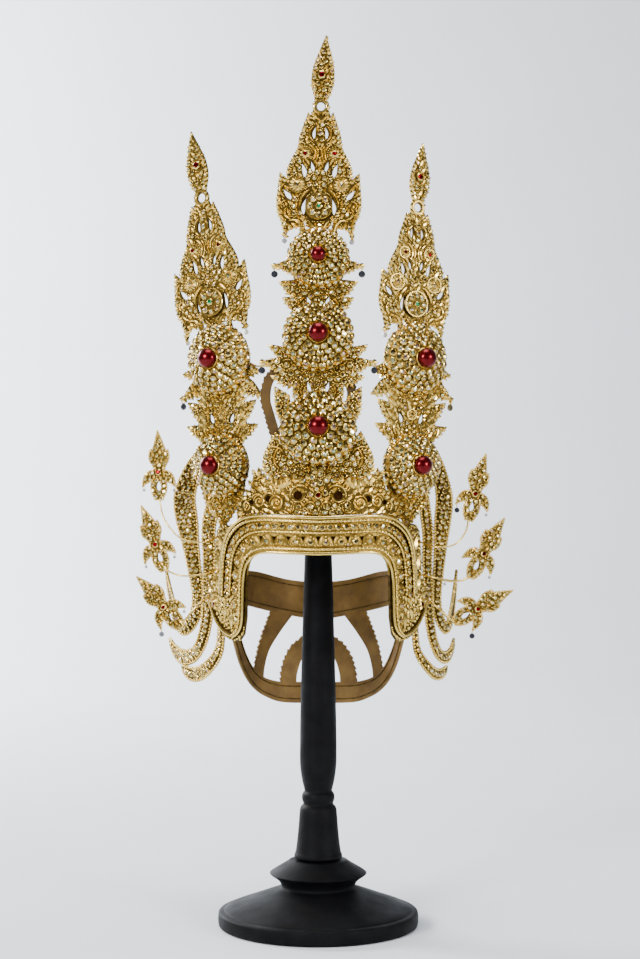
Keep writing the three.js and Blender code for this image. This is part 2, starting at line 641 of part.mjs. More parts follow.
// Sway is how many degrees a spire tips outward in its own plane. Its crest is set outward by
// crestX and tips crestTip more, and the finial finialTip more again.
const SIDE_SPIRES = {
  left: {
    side: -1, x: 83.8, y: -47, sway: 1,
    crestScale: [1.06, 1.1], crestX: 7, crestTip: 6.2, finialTip: 4, finial: 50.5,
  },
  right: {
    side: 1, x: 79.6, y: -52.5, sway: 2.3,
    crestScale: [0.98, 1], crestX: 1.5, crestTip: 0, finialTip: 3.5, finial: 52.5,
  },
};
const sideSpires = {};
for (const [name, row] of Object.entries(SIDE_SPIRES)) {
  const { side, x, y, sway } = row;
  const spire = upright(side * x, y, SPIRE_FOOT_Z, side * SIDE_YAW, 0, -side * sway);
  sideSpires[name] = spire;
  const [tipX, tipY] = tipEyelets(SIDE_FLAME)[side > 0 ? 0 : 1];
  const eyelet = eyelets([[tipX, tipY]]);
  const shapes = [
    ...Object.values(SIDE_BOSSES).map(([bossY, radius]) => disc(0, bossY, radius + BOSS_MARGIN)),
    leaf(SIDE_APRON),
    neck(SIDE_NECK),
    ...bothSides([...SIDE_LEAVES, SIDE_FLAME]),
    ...eyelet.rims,
  ];
  const cuts = bothSides([SIDE_CUT], CUT_STEPS);
  const flat = geometryOf(plate(shapes, [...cuts, ...eyelet.holes]));
  piece(`${name}_plate`, flat, GOLD, spire);
  for (const [level, boss] of Object.entries(SIDE_BOSSES)) {
    bossAndGem(name, level, spire, boss);
  }
  const crest = crestGeometry(row.crestScale, side * row.crestTip, side * row.finialTip, row.finial);
  crest.translate(side * row.crestX, SIDE_CREST_Y, 0);
  piece(`${name}_crest`, crest, GOLD, spire);
  piece(`${name}_drop`, dropGeometry(tipX, tipY, 0), CRYSTAL, spire);
}

// Side ribbons: narrow strips that hang behind each side spire and lappet and curl up behind.
// Rows are [degrees from the front, height, distance from the axis, width, turn].
const RIBBON_BACK = [
  [64.2, 430, 104.3, 11, 36], [72.6, 408, 116.2, 17, 42], [73, 385, 123.5, 20.5, 46], [73, 362, 121, 20, 47],
  [75, 342, 117, 16, 46], [78, 320, 112.5, 13.5, 44], [80, 298, 109, 12, 42], [80, 284, 110, 11.5, 41],
  [82, 273, 114, 11.5, 39], [85.5, 267, 120, 11.5, 36], [89.5, 271, 126, 11, 32], [93, 283, 131, 9.5, 30],
  [96, 298, 135.5, 6.5, 30], [99, 318, 141, 1.6, 30],
];
const RIBBON_MIDDLE = [
  [61.4, 388, 101.2, 11, 33], [66, 370, 103.5, 12.5, 39], [69.3, 352, 103.6, 12.2, 42],
  [70.2, 329, 102.4, 11.2, 41], [71.4, 303, 102.6, 10.8, 40], [72.3, 276, 103.5, 10.5, 38],
  [75, 256, 107, 10.5, 36], [81, 244, 112, 11, 35], [88, 240, 120, 12, 33], [93, 242.5, 127, 11, 30],
  [97, 248, 133, 7.5, 30], [100, 255, 138, 1.6, 30],
];
const RIBBON_FRONT = [
  [58, 346, 100.6, 9, 0], [58, 320, 100.6, 9, 0], [57.5, 294, 100.6, 9, 0], [57.5, 264, 100.6, 9.5, 0],
  [60, 248, 101, 10, 6], [66, 236, 104.5, 10.5, 16], [73, 228.5, 109, 11, 25], [79, 226.5, 114, 10.5, 30],
  [83, 228.5, 118.5, 8, 30], [86, 232.5, 122.5, 2, 30],
];
const RIBBON_ROOT = 104; // ribbons flare out beyond this distance from the axis
// Lift is how far the two rear ribbons' tops stand out further, to meet the back of their spire.
const RIBBON_SIDES = {
  left: { mirror: -1, flare: 1, breadth: 1, lift: 0 },
  right: { mirror: 1, flare: 0.65, breadth: 0.74, lift: 3.9 },
};
for (const [name, { mirror, flare, breadth, lift }] of Object.entries(RIBBON_SIDES)) {
  const rows = { back: RIBBON_BACK, middle: RIBBON_MIDDLE, front: RIBBON_FRONT };
  for (const [place, table] of Object.entries(rows)) {
    const flared = table.map(([angle, z, radius, width, turn], index) => {
      const reach = RIBBON_ROOT + Math.max(radius - RIBBON_ROOT, 0) * flare;
      const raised = place !== "front" && index === 0 ? lift : 0;
      return [angle, z, Math.min(radius, reach) + raised, width * breadth, turn];
    });
    const ribbon = strip(stationsRound(flared, 19, mirror), PLATE);
    piece(`${name}_ribbon_${place}`, geometryOf(solidOf(ribbon)), GOLD);
  }
}

// Sprigs: a small flame spray soldered to a springy wire that comes out of the band.
// Route rows are [x, y, z] from the band to the spray, lean is degrees outward from upright.
const SPRIGS = {
  left_sprig_high: {
    lean: 0, yaw: -12,
    route: [[-88.9, -47.7, 350], [-100, -62, 346], [-120, -62, 350], [-134, -56, 366], [-139, -52, 384]],
  },
  left_sprig_mid: {
    lean: 19, yaw: -12,
    route: [[-88, -49.3, 322], [-101, -60, 318], [-119, -60, 317], [-134.5, -53, 322]],
  },
  left_sprig_low: {
    lean: 41, yaw: -12,
    route: [[-95.2, -36.6, 298], [-105, -46, 291], [-115, -45, 280], [-121, -42, 271]],
  },
  right_sprig_high: {
    lean: 14, yaw: 12,
    route: [[88.9, -47.7, 346], [102, -62, 342], [118, -62, 344], [128, -56, 354], [131.5, -52, 366]],
  },
  right_sprig_mid: {
    lean: 30, yaw: 12,
    route: [[88, -49.3, 318], [102, -60, 315], [120, -58, 312], [133, -53, 316]],
  },
  right_sprig_low: {
    lean: 62, yaw: 12,
    route: [[95.2, -36.6, 296], [105, -46, 288], [114, -45, 280], [120, -42, 276]],
  },
};
const SPRAY_LEAVES = [
  { x: 3, y: 22, length: 17, width: 8.5, angle: -8, curl: -58 },
  { x: 3, y: 30, length: 14, width: 7, angle: 52, curl: 28 },
];
const SPRAY_FOOT = { x: 0, y: -1, length: 30, width: 15, angle: 90 };
const SPRAY_FLAME = { x: 0, y: 22, length: 37, width: 14, angle: 94, curl: -10 };
const SPRAY_EYE_Y = 23;
const SPRAY_EYE = 5.4;
const wireSection = disc(0, 0, WIRE_RADIUS, 6);
const SPRAY_CUT = { x: 0, y: 7, length: 9, width: 5, angle: 90 };
for (const [name, sprig] of Object.entries(SPRIGS)) {
  const side = Math.sign(sprig.route[0][0]);
  const route = sprig.route.map(([x, y, z]) => new THREE.Vector3(x, y, z));
  const end = route[route.length - 1];
  const group = upright(end.x, end.y, end.z, sprig.yaw, 0, -side * sprig.lean);
  const toSpray = group.matrix.clone().invert();
  const line = new THREE.CatmullRomCurve3(route.map((point) => point.applyMatrix4(toSpray)));
  const wire = new THREE.ExtrudeGeometry(wireSection, { steps: 6, extrudePath: line });
  const eye = disc(0, SPRAY_EYE_Y, SPRAY_EYE, EYE_SIDES);
  const shapes = [...bothSides(SPRAY_LEAVES), leaf(SPRAY_FOOT), leaf(SPRAY_FLAME, side), eye];
  const spray = plate(shapes, [leaf(SPRAY_CUT, 1, CUT_STEPS)], PLATE / 2);
  piece(name, geometryOf(spray.add(solidOf(wire))), GOLD, group);
}

// Tie wires: short stays from behind each side spire to behind the centre spire's flames.
const TIE_CLEARANCE = 0.78; // between a tie wire and the backs of the plates
const TIE_BACK = -PLATE - TIE_CLEARANCE - WIRE_RADIUS;
const TIE_SAG = 3;
const TIE_FROM = [23, 104]; // inward and up in the side spire's plane
const TIE_TO = [42, 101]; // outward and up in the centre spire's plane
for (const [name, spire] of Object.entries(sideSpires)) {
  const { side } = SIDE_SPIRES[name];
  const from = new THREE.Vector3(-side * TIE_FROM[0], TIE_FROM[1], TIE_BACK).applyMatrix4(spire.matrix);
  const to = new THREE.Vector3(side * TIE_TO[0], TIE_TO[1], TIE_BACK).applyMatrix4(centreSpire.matrix);
  const middle = from.clone().add(to).multiplyScalar(0.5);
  middle.z -= TIE_SAG;
  const line = new THREE.CatmullRomCurve3([from, middle, to]);
  const wire = new THREE.ExtrudeGeometry(wireSection, { steps: 4, extrudePath: line });
  piece(`${name}_tie_wire`, geometryOf(solidOf(wire)), GOLD);
}

export default part;
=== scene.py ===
import math
from collections import namedtuple

import bmesh
import bpy
import numpy as np
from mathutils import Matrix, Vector
from mathutils.geometry import tessellate_polygon


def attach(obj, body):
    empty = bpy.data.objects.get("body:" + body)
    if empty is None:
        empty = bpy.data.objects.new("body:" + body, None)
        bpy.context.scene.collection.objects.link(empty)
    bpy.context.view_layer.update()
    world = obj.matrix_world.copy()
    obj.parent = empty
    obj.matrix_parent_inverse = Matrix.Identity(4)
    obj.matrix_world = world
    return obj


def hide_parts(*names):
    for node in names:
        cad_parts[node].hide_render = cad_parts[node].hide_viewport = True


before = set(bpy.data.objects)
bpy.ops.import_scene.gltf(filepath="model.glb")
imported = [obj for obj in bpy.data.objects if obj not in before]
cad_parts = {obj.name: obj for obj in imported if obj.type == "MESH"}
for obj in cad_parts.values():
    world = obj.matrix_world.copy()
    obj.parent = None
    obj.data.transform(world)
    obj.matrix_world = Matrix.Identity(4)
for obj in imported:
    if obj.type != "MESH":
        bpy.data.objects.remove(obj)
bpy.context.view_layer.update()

# Stand: a turned softwood foot and column painted satin black, scuffed a little by handling.
# The column is glued into the foot's collar, and a plain board on top carries the crown.
MM = 0.001


def outward_mesh(name, points, faces):
    """A mesh whose faces all look outward."""
    mesh = bpy.data.meshes.new(name)
    mesh.from_pydata([tuple(point) for point in points], [], faces)
    facing = bmesh.new()
    facing.from_mesh(mesh)
    bmesh.ops.recalc_face_normals(facing, faces=facing.faces)
    facing.to_mesh(mesh)
    facing.free()
    return mesh


def join_piece(name, points, faces, material, slot, replaces=(), crease=35):
    mesh = outward_mesh(name, points, faces)
    mesh.polygons.foreach_set("use_smooth", [True] * len(mesh.polygons))
    mesh.set_sharp_from_angle(angle=math.radians(crease))
    mesh.materials.append(material)
    piece = bpy.data.objects.new(name, mesh)
    bpy.context.scene.collection.objects.link(piece)
    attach(piece, "root")
    if replaces:
        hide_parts(*replaces)
    return piece


def turned(profile, sides):
    """Points and faces of a closed turned form from rows of (radius, height), foot to top."""
    points = []
    faces = []
    for radius, height in profile:
        for side in range(sides):
            turn = 2 * math.pi * side / sides
            points.append((radius * math.cos(turn), radius * math.sin(turn), height))
    for row in range(len(profile) - 1):
        for side in range(sides):
            after = (side + 1) % sides
            low = row * sides
            faces.append((low + side, low + after, low + sides + after, low + sides + side))
    top = (len(profile) - 1) * sides
    faces.append(tuple(reversed(range(sides))))
    faces.append(tuple(range(top, top + sides)))
    return np.array(points), faces


def smooth_profile(profile, rounds):
    """The profile with its corners cut a few times, so that a turning has soft arrises."""
    rows = [np.array(row, float) for row in profile]
    for _ in range(rounds):
        cut = [rows[0]]
        for first, second in zip(rows, rows[1:]):
            cut.append(first * 0.75 + second * 0.25)
            cut.append(first * 0.25 + second * 0.75)
        rows = cut + [rows[-1]]
    return rows


def shader_group(name, inputs, outputs):
    """A node group with named sockets, and its input and output nodes."""
    group = bpy.data.node_groups.new(name, "ShaderNodeTree")
    for socket, kind, value in inputs:
        made = group.interface.new_socket(socket, in_out="INPUT", socket_type=kind)
        made.default_value = value
    for socket, kind in outputs:
        group.interface.new_socket(socket, in_out="OUTPUT", socket_type=kind)
    return group, group.nodes.new("NodeGroupInput"), group.nodes.new("NodeGroupOutput")


def feed(tree, socket, value):
    """Links a socket to another node's socket, or sets it to a plain value."""
    if hasattr(value, "is_output"):
        tree.links.new(value, socket)
    else:
        socket.default_value = value


def noise_node(tree, scale, detail, vector):
    noise = tree.nodes.new("ShaderNodeTexNoise")
    noise.inputs["Detail"].default_value = detail
    feed(tree, noise.inputs["Scale"], scale)
    tree.links.new(vector, noise.inputs["Vector"])
    return noise.outputs["Fac"]


def spread(tree, value, low, high, to_low, to_high):
    """Maps a value so that low and high become two other values."""
    node = tree.nodes.new("ShaderNodeMapRange")
    sockets = ("Value", "From Min", "From Max", "To Min", "To Max")
    for socket, given in zip(sockets, (value, low, high, to_low, to_high)):
        feed(tree, node.inputs[socket], given)
    return node.outputs["Result"]


def mix_colours(tree, blend_type, share, first, second):
    """Mixes two colours, each of them a socket or a plain value."""
    node = tree.nodes.new("ShaderNodeMix")
    node.data_type = "RGBA"
    node.blend_type = blend_type
    colours = [socket for socket in node.inputs if socket.type == "RGBA"]
    for socket, given in zip((node.inputs["Factor"], *colours), (share, first, second)):
        feed(tree, socket, given)
    return next(socket for socket in node.outputs if socket.type == "RGBA")


# Patchy surface used by every paint and gilding: two tones in soft patches with finer specks, and
# a roughness and height that follow them.
patchy, patchy_in, patchy_out = shader_group(
    "patchy_surface",
    [
        ("Deep", "NodeSocketColor", (0.1, 0.1, 0.1, 1)),
        ("Bright", "NodeSocketColor", (0.8, 0.8, 0.8, 1)),
        ("Scale", "NodeSocketFloat", 60.0),
        ("Rough Low", "NodeSocketFloat", 0.3),
        ("Rough High", "NodeSocketFloat", 0.5),
    ],
    [("Colour", "NodeSocketColor"), ("Roughness", "NodeSocketFloat"), ("Height", "NodeSocketFloat")],
)
PATCH_DETAIL = 5
SPECK_SCALE = 900
SPECK_DETAIL = 3
SPECK_SHARE = 0.35
TONE_RANGE = (0.45, 0.85)
ROUGH_RANGE = (0.3, 0.7)
BUMP_DEPTH = 0.2 * MM
place = patchy.nodes.new("ShaderNodeTexCoord").outputs["Object"]
patches = noise_node(patchy, patchy_in.outputs["Scale"], PATCH_DETAIL, place)
specks = noise_node(patchy, SPECK_SCALE, SPECK_DETAIL, place)
blend = patchy.nodes.new("ShaderNodeMath")
blend.operation = "MULTIPLY_ADD"
for socket, given in zip(blend.inputs, (specks, SPECK_SHARE, patches)):
    feed(patchy, socket, given)
share = spread(patchy, blend.outputs[0], *TONE_RANGE, 0, 1)
colour = mix_colours(patchy, "MIX", share, patchy_in.outputs["Deep"], patchy_in.outputs["Bright"])
patchy.links.new(colour, patchy_out.inputs["Colour"])
rough_ends = (patchy_in.outputs["Rough High"], patchy_in.outputs["Rough Low"])
rough = spread(patchy, patches, *ROUGH_RANGE, *rough_ends)
patchy.links.new(rough, patchy_out.inputs["Roughness"])
patchy.links.new(specks, patchy_out.inputs["Height"])


def surface(name, deep, bright, scale, roughness, metallic, bump):
    """A material of patchy colour and roughness with a fine bump; metal where metallic is 1."""
    material = bpy.data.materials.new(name)
    material.use_nodes = True
    tree = material.node_tree
    shader = tree.nodes["Principled BSDF"]
    shader.inputs["Metallic"].default_value = metallic
    group = tree.nodes.new("ShaderNodeGroup")
    group.node_tree = patchy
    group.inputs["Deep"].default_value = (*deep, 1)
    group.inputs["Bright"].default_value = (*bright, 1)
    group.inputs["Scale"].default_value = scale
    group.inputs["Rough Low"].default_value = roughness[0]
    group.inputs["Rough High"].default_value = roughness[1]
    tree.links.new(group.outputs["Colour"], shader.inputs["Base Color"])
    tree.links.new(group.outputs["Roughness"], shader.inputs["Roughness"])
    dent = tree.nodes.new("ShaderNodeBump")
    dent.inputs["Strength"].default_value = bump
    dent.inputs["Distance"].default_value = BUMP_DEPTH
    tree.links.new(group.outputs["Height"], dent.inputs["Height"])
    tree.links.new(dent.outputs["Normal"], shader.inputs["Normal"])
    return material


SATIN_BLACK = (0.0012, 0.0012, 0.0016)
SCUFFED_BLACK = (0.004, 0.004, 0.0046)
SATIN_GLOSS = 0.085
black_wood = surface("black_wood", SATIN_BLACK, SCUFFED_BLACK, 45, (0.5, 0.66), 0, 0.35)
black_wood.node_tree.nodes["Principled BSDF"].inputs["Specular IOR Level"].default_value = SATIN_GLOSS
STAND_SIDES = 96
# Rows of the turnings are [radius, height] in mm.
FOOT_TURNING = [
    [1, 0], [88, 0], [90, 2], [90, 11.8], [88.6, 13.6], [84.4, 14.2], [83.6, 15.2], [79, 17.5], [65, 22.5],
    [52, 27.5], [40, 32], [34, 34.2], [33, 36.5], [36, 41.5], [43.6, 46.4], [43.4, 47.8], [27, 57.6],
    [25.6, 59.2],
    [1, 59.2],
]
COLUMN_TURNING = [
    [1, 59.5], [21.6, 59.5], [21.6, 64], [20.2, 66], [18, 85], [17, 100], [16.4, 106], [13, 109.4],
    [14.4, 112],
    [14.9, 115.4], [14.3, 118.4], [12.4, 120.6], [12.4, 121.6], [14.6, 130], [16.4, 142], [16.7, 154],
    [16, 202],
    [12.4, 332], [11.5, 349.6], [1, 349.6],
]
for node, rows in (("stand_foot", FOOT_TURNING), ("stand_column", COLUMN_TURNING)):
    points, faces = turned(smooth_profile(rows, 2), STAND_SIDES)
    join_piece(node + "_turned", points * MM, faces, black_wood, "black_wood", (node,), crease=60)
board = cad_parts["stand_head"]
board.data.materials.clear()
board.data.materials.append(black_wood)

# Forehead band: one wall of gilded hide bent round the brow with a lappet at each cheek. Rope
# borders, a row of round stones and a row of lozenges are moulded on it, with grains between.
BAND_RADIUS = 105 * MM
BAND_CENTRE_Y = 10 * MM
SEED = 7
draw = np.random.default_rng(SEED)
# A face is where relief is laid: lay gives points from (across, up, out), axes the way they look.
Face = namedtuple("Face", "lay axes flat")


def band_lay(across, up, out):
    turn = np.asarray(across) / BAND_RADIUS
    reach = BAND_RADIUS + np.asarray(out)
    return np.stack([reach * np.sin(turn), BAND_CENTRE_Y - reach * np.cos(turn), up + 0 * turn], -1)


def band_axes(across, up):
    turn = across / BAND_RADIUS
    return np.array([
        [math.cos(turn), 0, math.sin(turn)],
        [math.sin(turn), 0, -math.cos(turn)],
        [0, 1, 0],
    ])


def band_flat(points):
    away = points - np.array([0, BAND_CENTRE_Y, 0])
    turn = np.arctan2(away[:, 0], -away[:, 1])
    return np.stack([turn * BAND_RADIUS, points[:, 2], np.hypot(away[:, 0], away[:, 1]) - BAND_RADIUS], -1)


band_face = Face(band_lay, band_axes, band_flat)


def node_arrays(node):
    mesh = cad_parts[node].data
    points = np.array([vertex.co for vertex in mesh.vertices], float)
    return points, [tuple(face.vertices) for face in mesh.polygons]


LEVEL_SLACK = 0.5 * MM


def outline(node, face, level=None):
    """Edges of a plate's back, or of the level given, as pairs of (across, up) points."""
    points, faces = node_arrays(node)
    local = face.flat(points)
    level = local[:, 2].min() if level is None else level
    edges = set()
    for corners in faces:
        if np.abs(local[list(corners), 2] - level).max() > LEVEL_SLACK:
            continue
        keys = [tuple(np.round(local[corner, :2] * 1e6).astype(int)) for corner in corners]
        for edge in zip(keys, keys[1:] + keys[:1]):
            if edge[::-1] in edges:
                edges.remove(edge[::-1])
            else:
                edges.add(edge)
    return np.array(sorted(edges), float) * 1e-6


def edge_distance(spots, edges):
    """Distance from each spot to the nearest edge, negative outside the outline."""
    nearest = np.full(len(spots), 9.0)
    crossings = np.zeros(len(spots), int)
    for (ax, ay), (bx, by) in edges:
        run = np.array([bx - ax, by - ay])
        along = ((spots - (ax, ay)) @ run / max(run @ run, 1e-16)).clip(0, 1)
        gap = spots - (ax, ay) - along[:, None] * run
        nearest = np.minimum(nearest, np.hypot(gap[:, 0], gap[:, 1]))
        if ay != by:
            level = (ay > spots[:, 1]) != (by > spots[:, 1])
            crossings += level & (spots[:, 0] < ax + (spots[:, 1] - ay) / (by - ay) * (bx - ax))
    return np.where(crossings % 2 == 1, nearest, -nearest)


class Field:
    """A patch of a face that is filled with round things, big ones first, none overlapping."""

    def __init__(self, edges, keep_out=()):
        self.edges = edges
        self.taken = [np.array(disc, float) for disc in keep_out]

    def fill(self, radius, margin, spacing=1.0, limits=None):
        corners = self.edges.reshape(-1, 2)
        low, high = corners.min(0), corners.max(0)
        step = 0.45 * radius
        across, up = np.meshgrid(np.arange(low[0], high[0], step), np.arange(low[1], high[1], step))
        spots = np.stack([across.ravel(), up.ravel()], -1)
        spots += draw.uniform(-0.3, 0.3, spots.shape) * step
        if limits is not None:
            spots = spots[limits(spots)]
        depth = edge_distance(spots, self.edges)
        keep = depth > radius * margin
        spots, depth = spots[keep], depth[keep]
        for x, y, reach in self.taken:
            clear = np.hypot(spots[:, 0] - x, spots[:, 1] - y) > reach + radius * spacing
            spots, depth = spots[clear], depth[clear]
        rows = np.round((depth - radius * margin) / (1.9 * radius))
        order = np.argsort(rows * 10 + np.abs(depth - radius * margin - rows * 1.9 * radius) / radius)
        cell = 2 * radius * spacing
        grid = {}
        placed = []
        for x, y in spots[order]:
            column, row = int(x // cell), int(y // cell)
            near = [
                other
                for dx in (-1, 0, 1)
                for dy in (-1, 0, 1)
                for other in grid.get((column + dx, row + dy), ())
            ]
            if all(math.hypot(x - ox, y - oy) >= cell for ox, oy in near):
                grid.setdefault((column, row), []).append((x, y))
                placed.append((x, y, radius))
        self.taken += [np.array(disc) for disc in placed]
        return placed


class Copies:
    """Many small copies of one template, gathered into a single joined mesh."""

    def __init__(self, template):
        self.template, self.faces = template
        self.points = []
        self.tints = []

    def put(self, centre, axes, scale, tint=(1, 1, 1)):
        self.points.append((self.template * scale) @ np.asarray(axes).T + centre)
        self.tints.append(tint)

    def finish(self, name, material, slot, crease=35, replaces=()):
        size = len(self.template)
        points = np.concatenate(self.points)
        faces = [
            tuple(corner + copy * size for corner in face)
            for copy in range(len(self.points))
            for face in self.faces
        ]
        piece = join_piece(name, points, faces, material, slot, replaces, crease)
        tint = piece.data.color_attributes.new("tint", "FLOAT_COLOR", "POINT")
        colours = np.repeat(np.array(self.tints), size, axis=0)
        tint.data.foreach_set("color", np.c_[colours, np.ones(len(colours))].ravel())
        return piece


COLLET_SIDES = 12
CUT_SIDES = 8
NOTCH = 0.84


def collet_template():
    """A flower cup that holds one stone, a unit in radius: foot, six petals at the lip, and seat."""
    points, faces = turned([(0.88, -0.3), (1.0, 0.38), (0.72, 0.57), (0.6, 0.38)], COLLET_SIDES)
    for row in (1, 2):
        points[row * COLLET_SIDES + 1:(row + 1) * COLLET_SIDES:2, :2] *= NOTCH
    return points, faces


def cut_stone_template():
    """A brilliant with a girdle, sixteen crown facets and a table, a unit in its collet's radius."""
    points = []
    for radius, height, shift in ((0.5, 0.3, 0), (0.63, 0.46, 0), (0.34, 0.7, 0.5)):
        for side in range(CUT_SIDES):
            turn = 2 * math.pi * (side + shift) / CUT_SIDES
            points.append((radius * math.cos(turn), radius * math.sin(turn), height))
    faces = [tuple(reversed(range(CUT_SIDES))), tuple(range(2 * CUT_SIDES, 3 * CUT_SIDES))]
    for side in range(CUT_SIDES):
        after = (side + 1) % CUT_SIDES
        low, girdle, table = 0, CUT_SIDES, 2 * CUT_SIDES
        faces.append((low + side, low + after, girdle + after, girdle + side))
        faces.append((girdle + side, girdle + after, table + side))
        faces.append((girdle + after, table + after, table + side))
    return np.array(points), faces


def grain_template():
    """A round grain of gold, a unit in radius."""
    return turned([(1.0, -0.2), (0.82, 0.5), (0.3, 0.85)], 6)


# Gilding: thick gold paint over the moulded relief. The ground between the relief is painted darker and
# browner as shade: a little on the band's plain ground, partly its own darker gold, and much more between
# stones.
gold_relief = surface("gold_relief", (0.53, 0.35, 0.068), (0.86, 0.63, 0.182), 160, (0.17, 0.32), 1, 0.25)
gold_plain = surface("gold_plain", (0.17, 0.1, 0.016), (0.36, 0.235, 0.048), 220, (0.34, 0.5), 1, 0.4)
gold_ground_painted_shade = surface("gold_ground_painted_shade", (0.036, 0.021, 0.004), (0.125, 0.08, 0.017), 220, (0.4, 0.6), 1, 0.5)
# A near-black brown that paints the shade inside holes and piercings.
painted_shade_hide = surface("painted_shade_hide", (0.014, 0.005, 0.0015), (0.03, 0.011, 0.003), 200, (0.6, 0.8), 0, 0.3)
painted_shade_hide.node_tree.nodes["Principled BSDF"].inputs["Specular IOR Level"].default_value = 0
foil_stone = surface("foil_stone", (0.82, 0.8, 0.74), (1, 1, 1), 500, (0.12, 0.26), 1, 0.0)


def tint_material(material):
    """Multiplies a material's colour by the tint that each small copy carries."""
    tree = material.node_tree
    shader = tree.nodes["Principled BSDF"]
    tint = tree.nodes.new("ShaderNodeVertexColor")
    tint.layer_name = "tint"
    base = shader.inputs["Base Color"]
    tinted = mix_colours(tree, "MULTIPLY", 1, base.links[0].from_socket, tint.outputs["Color"])
    tree.links.new(tinted, base)


tint_material(foil_stone)
STONE_TINTS = [
    (0.46, 0.39, 0.19), (0.6, 0.53, 0.31), (0.24, 0.2, 0.1), (0.82, 0.79, 0.62), (0.4, 0.29, 0.22),
    (0.34, 0.38, 0.24), (0.15, 0.12, 0.06),
]
RED = (0.12, 0.0005, 0.004)
GREEN = (0.03, 0.36, 0.14)
collets = {}
stones = {}
grains = {}


ACROSS, UP, OUT = range(3)


def turn_about(axis, angle):
    """The matrix of a turn about one of three axes."""
    first, second = (axis + 1) % 3, (axis + 2) % 3
    matrix = np.eye(3)
    matrix[first, first] = matrix[second, second] = math.cos(angle)
    matrix[second, first] = math.sin(angle)
    matrix[first, second] = -math.sin(angle)
    return matrix


def tilted(axes, most):
    """The axes turned a little about both ways across, and spun about the way out."""
    across_tilt, up_tilt = np.radians(draw.uniform(-most, most, 2))
    spin = draw.uniform(0, 2 * math.pi)
    return axes @ turn_about(ACROSS, across_tilt) @ turn_about(UP, up_tilt) @ turn_about(OUT, spin)


CUP_TILT = 9
STONE_TILT = 15
GRAIN_TILT = 12


def set_stone(group, centre, axes, radius, tint=None):
    if group not in stones:
        collets[group] = Copies(collet_template())
        stones[group] = Copies(cut_stone_template())
    if tint is None:
        tint = STONE_TINTS[draw.integers(len(STONE_TINTS))]
    axes = tilted(axes, CUP_TILT)
    collets[group].put(centre, axes, radius)
    stones[group].put(centre, tilted(axes, STONE_TILT), radius, tint)


def set_stones(group, face, spots, out=0.0):
    for x, y, radius in spots:
        set_stone(group, face.lay(x, y, out), face.axes(x, y), radius)


def set_grains(group, face, spots, out=0.0):
    copies = grains.setdefault(group, Copies(grain_template()))
    for x, y, radius in spots:
        copies.put(face.lay(x, y, out), tilted(face.axes(x, y), GRAIN_TILT), radius)


def resample(line, step):
    """Evenly spaced points on a line of (across, up) points."""
    line = np.asarray(line, float)
    run = np.r_[0, np.cumsum(np.hypot(*np.diff(line, axis=0).T))]
    count = max(int(run[-1] / step) + 1, 3)
    along = np.linspace(0, run[-1], count)
    return np.stack([np.interp(along, run, line[:, 0]), np.interp(along, run, line[:, 1])], -1)


def curve_through(rows, rounds=3):
    """A smooth line through rows, by cutting corners and keeping both ends."""
    return np.array(smooth_profile(rows, rounds))


Relief = namedtuple("Relief", "points faces")
reliefs = {}


def add_relief(group, points, faces):
    relief = reliefs.setdefault(group, Relief([], []))
    start = len(relief.points)
    relief.points.extend(points)
    relief.faces.extend(tuple(corner + start for corner in face) for face in faces)


def swept(rings):
    """Points and faces of a closed form through rings of the same count of points."""
    count = len(rings[0])
    points = np.concatenate(rings)
    faces = [tuple(reversed(range(count)))]
    for row in range(len(rings) - 1):
        for side in range(count):
            after = (side + 1) % count
            low = row * count
            faces.append((low + side, low + after, low + count + after, low + count + side))
    faces.append(tuple(range(len(points) - count, len(points))))
    return points, faces


ROPE_SIDES = 8


def rope(group, face, line, radius, out, twist=1.0):
    """A two-strand rope border laid along a line."""
    pitch = 3.2 * radius
    spots = resample(line, pitch / 5)
    ahead = np.gradient(spots, axis=0)
    ahead /= np.hypot(ahead[:, 0], ahead[:, 1])[:, None]
    rings = []
    for index, ((x, y), (dx, dy)) in enumerate(zip(spots, ahead)):
        angle = 2 * math.pi * np.arange(ROPE_SIDES) / ROPE_SIDES
        swell = radius * (1 + 0.24 * np.cos(2 * angle - twist * 2 * math.pi * index / 5))
        across = np.cos(angle) * swell
        rings.append(face.lay(x - dy * across, y + dx * across, out + np.sin(angle) * swell))
    add_relief(group, *swept(rings))


def ridge(group, face, line, width, height, out=0.0):
    """A raised gold line, half round and pointed at both ends."""
    spots = resample(line, 1.1 * MM)
    ahead = np.gradient(spots, axis=0)
    ahead /= np.hypot(ahead[:, 0], ahead[:, 1])[:, None]
    along = np.linspace(0, 1, len(spots))
    swell = np.maximum(np.sin(math.pi * along), 0) ** 0.45 * 0.92 + 0.08
    angle = np.radians([0, 40, 90, 140, 180])
    rings = []
    for (x, y), (dx, dy), share in zip(spots, ahead, swell):
        across = np.r_[np.cos(angle), -0.9, 0.9] * width / 2 * share
        rise = np.r_[np.sin(angle) * height * share, -0.3 * MM, -0.3 * MM]
        rings.append(face.lay(x - dy * across, y + dx * across, out + rise))
    add_relief(group, *swept(rings))


def arc(x, y, radius, start, end):
    """Points of an arc in mm and degrees, as a line in metres."""
    angle = np.radians(np.linspace(start, end, 25))
    return np.stack([x + radius * np.cos(angle), y + radius * np.sin(angle)], -1) * MM


def discs_along(line, radius):
    """Keep-out discs that cover a line."""
    return [(x, y, radius) for x, y in resample(line, radius)]


teeth = {}
TOOTH_OUTLINE = [(-0.22, 0), (-0.36, 0.3), (-0.2, 0.68), (0.1, 1), (0.24, 0.62), (0.36, 0.3), (0.22, 0)]


LEAF_BREADTH = 0.72
LEAF_RIDGE = 0.34


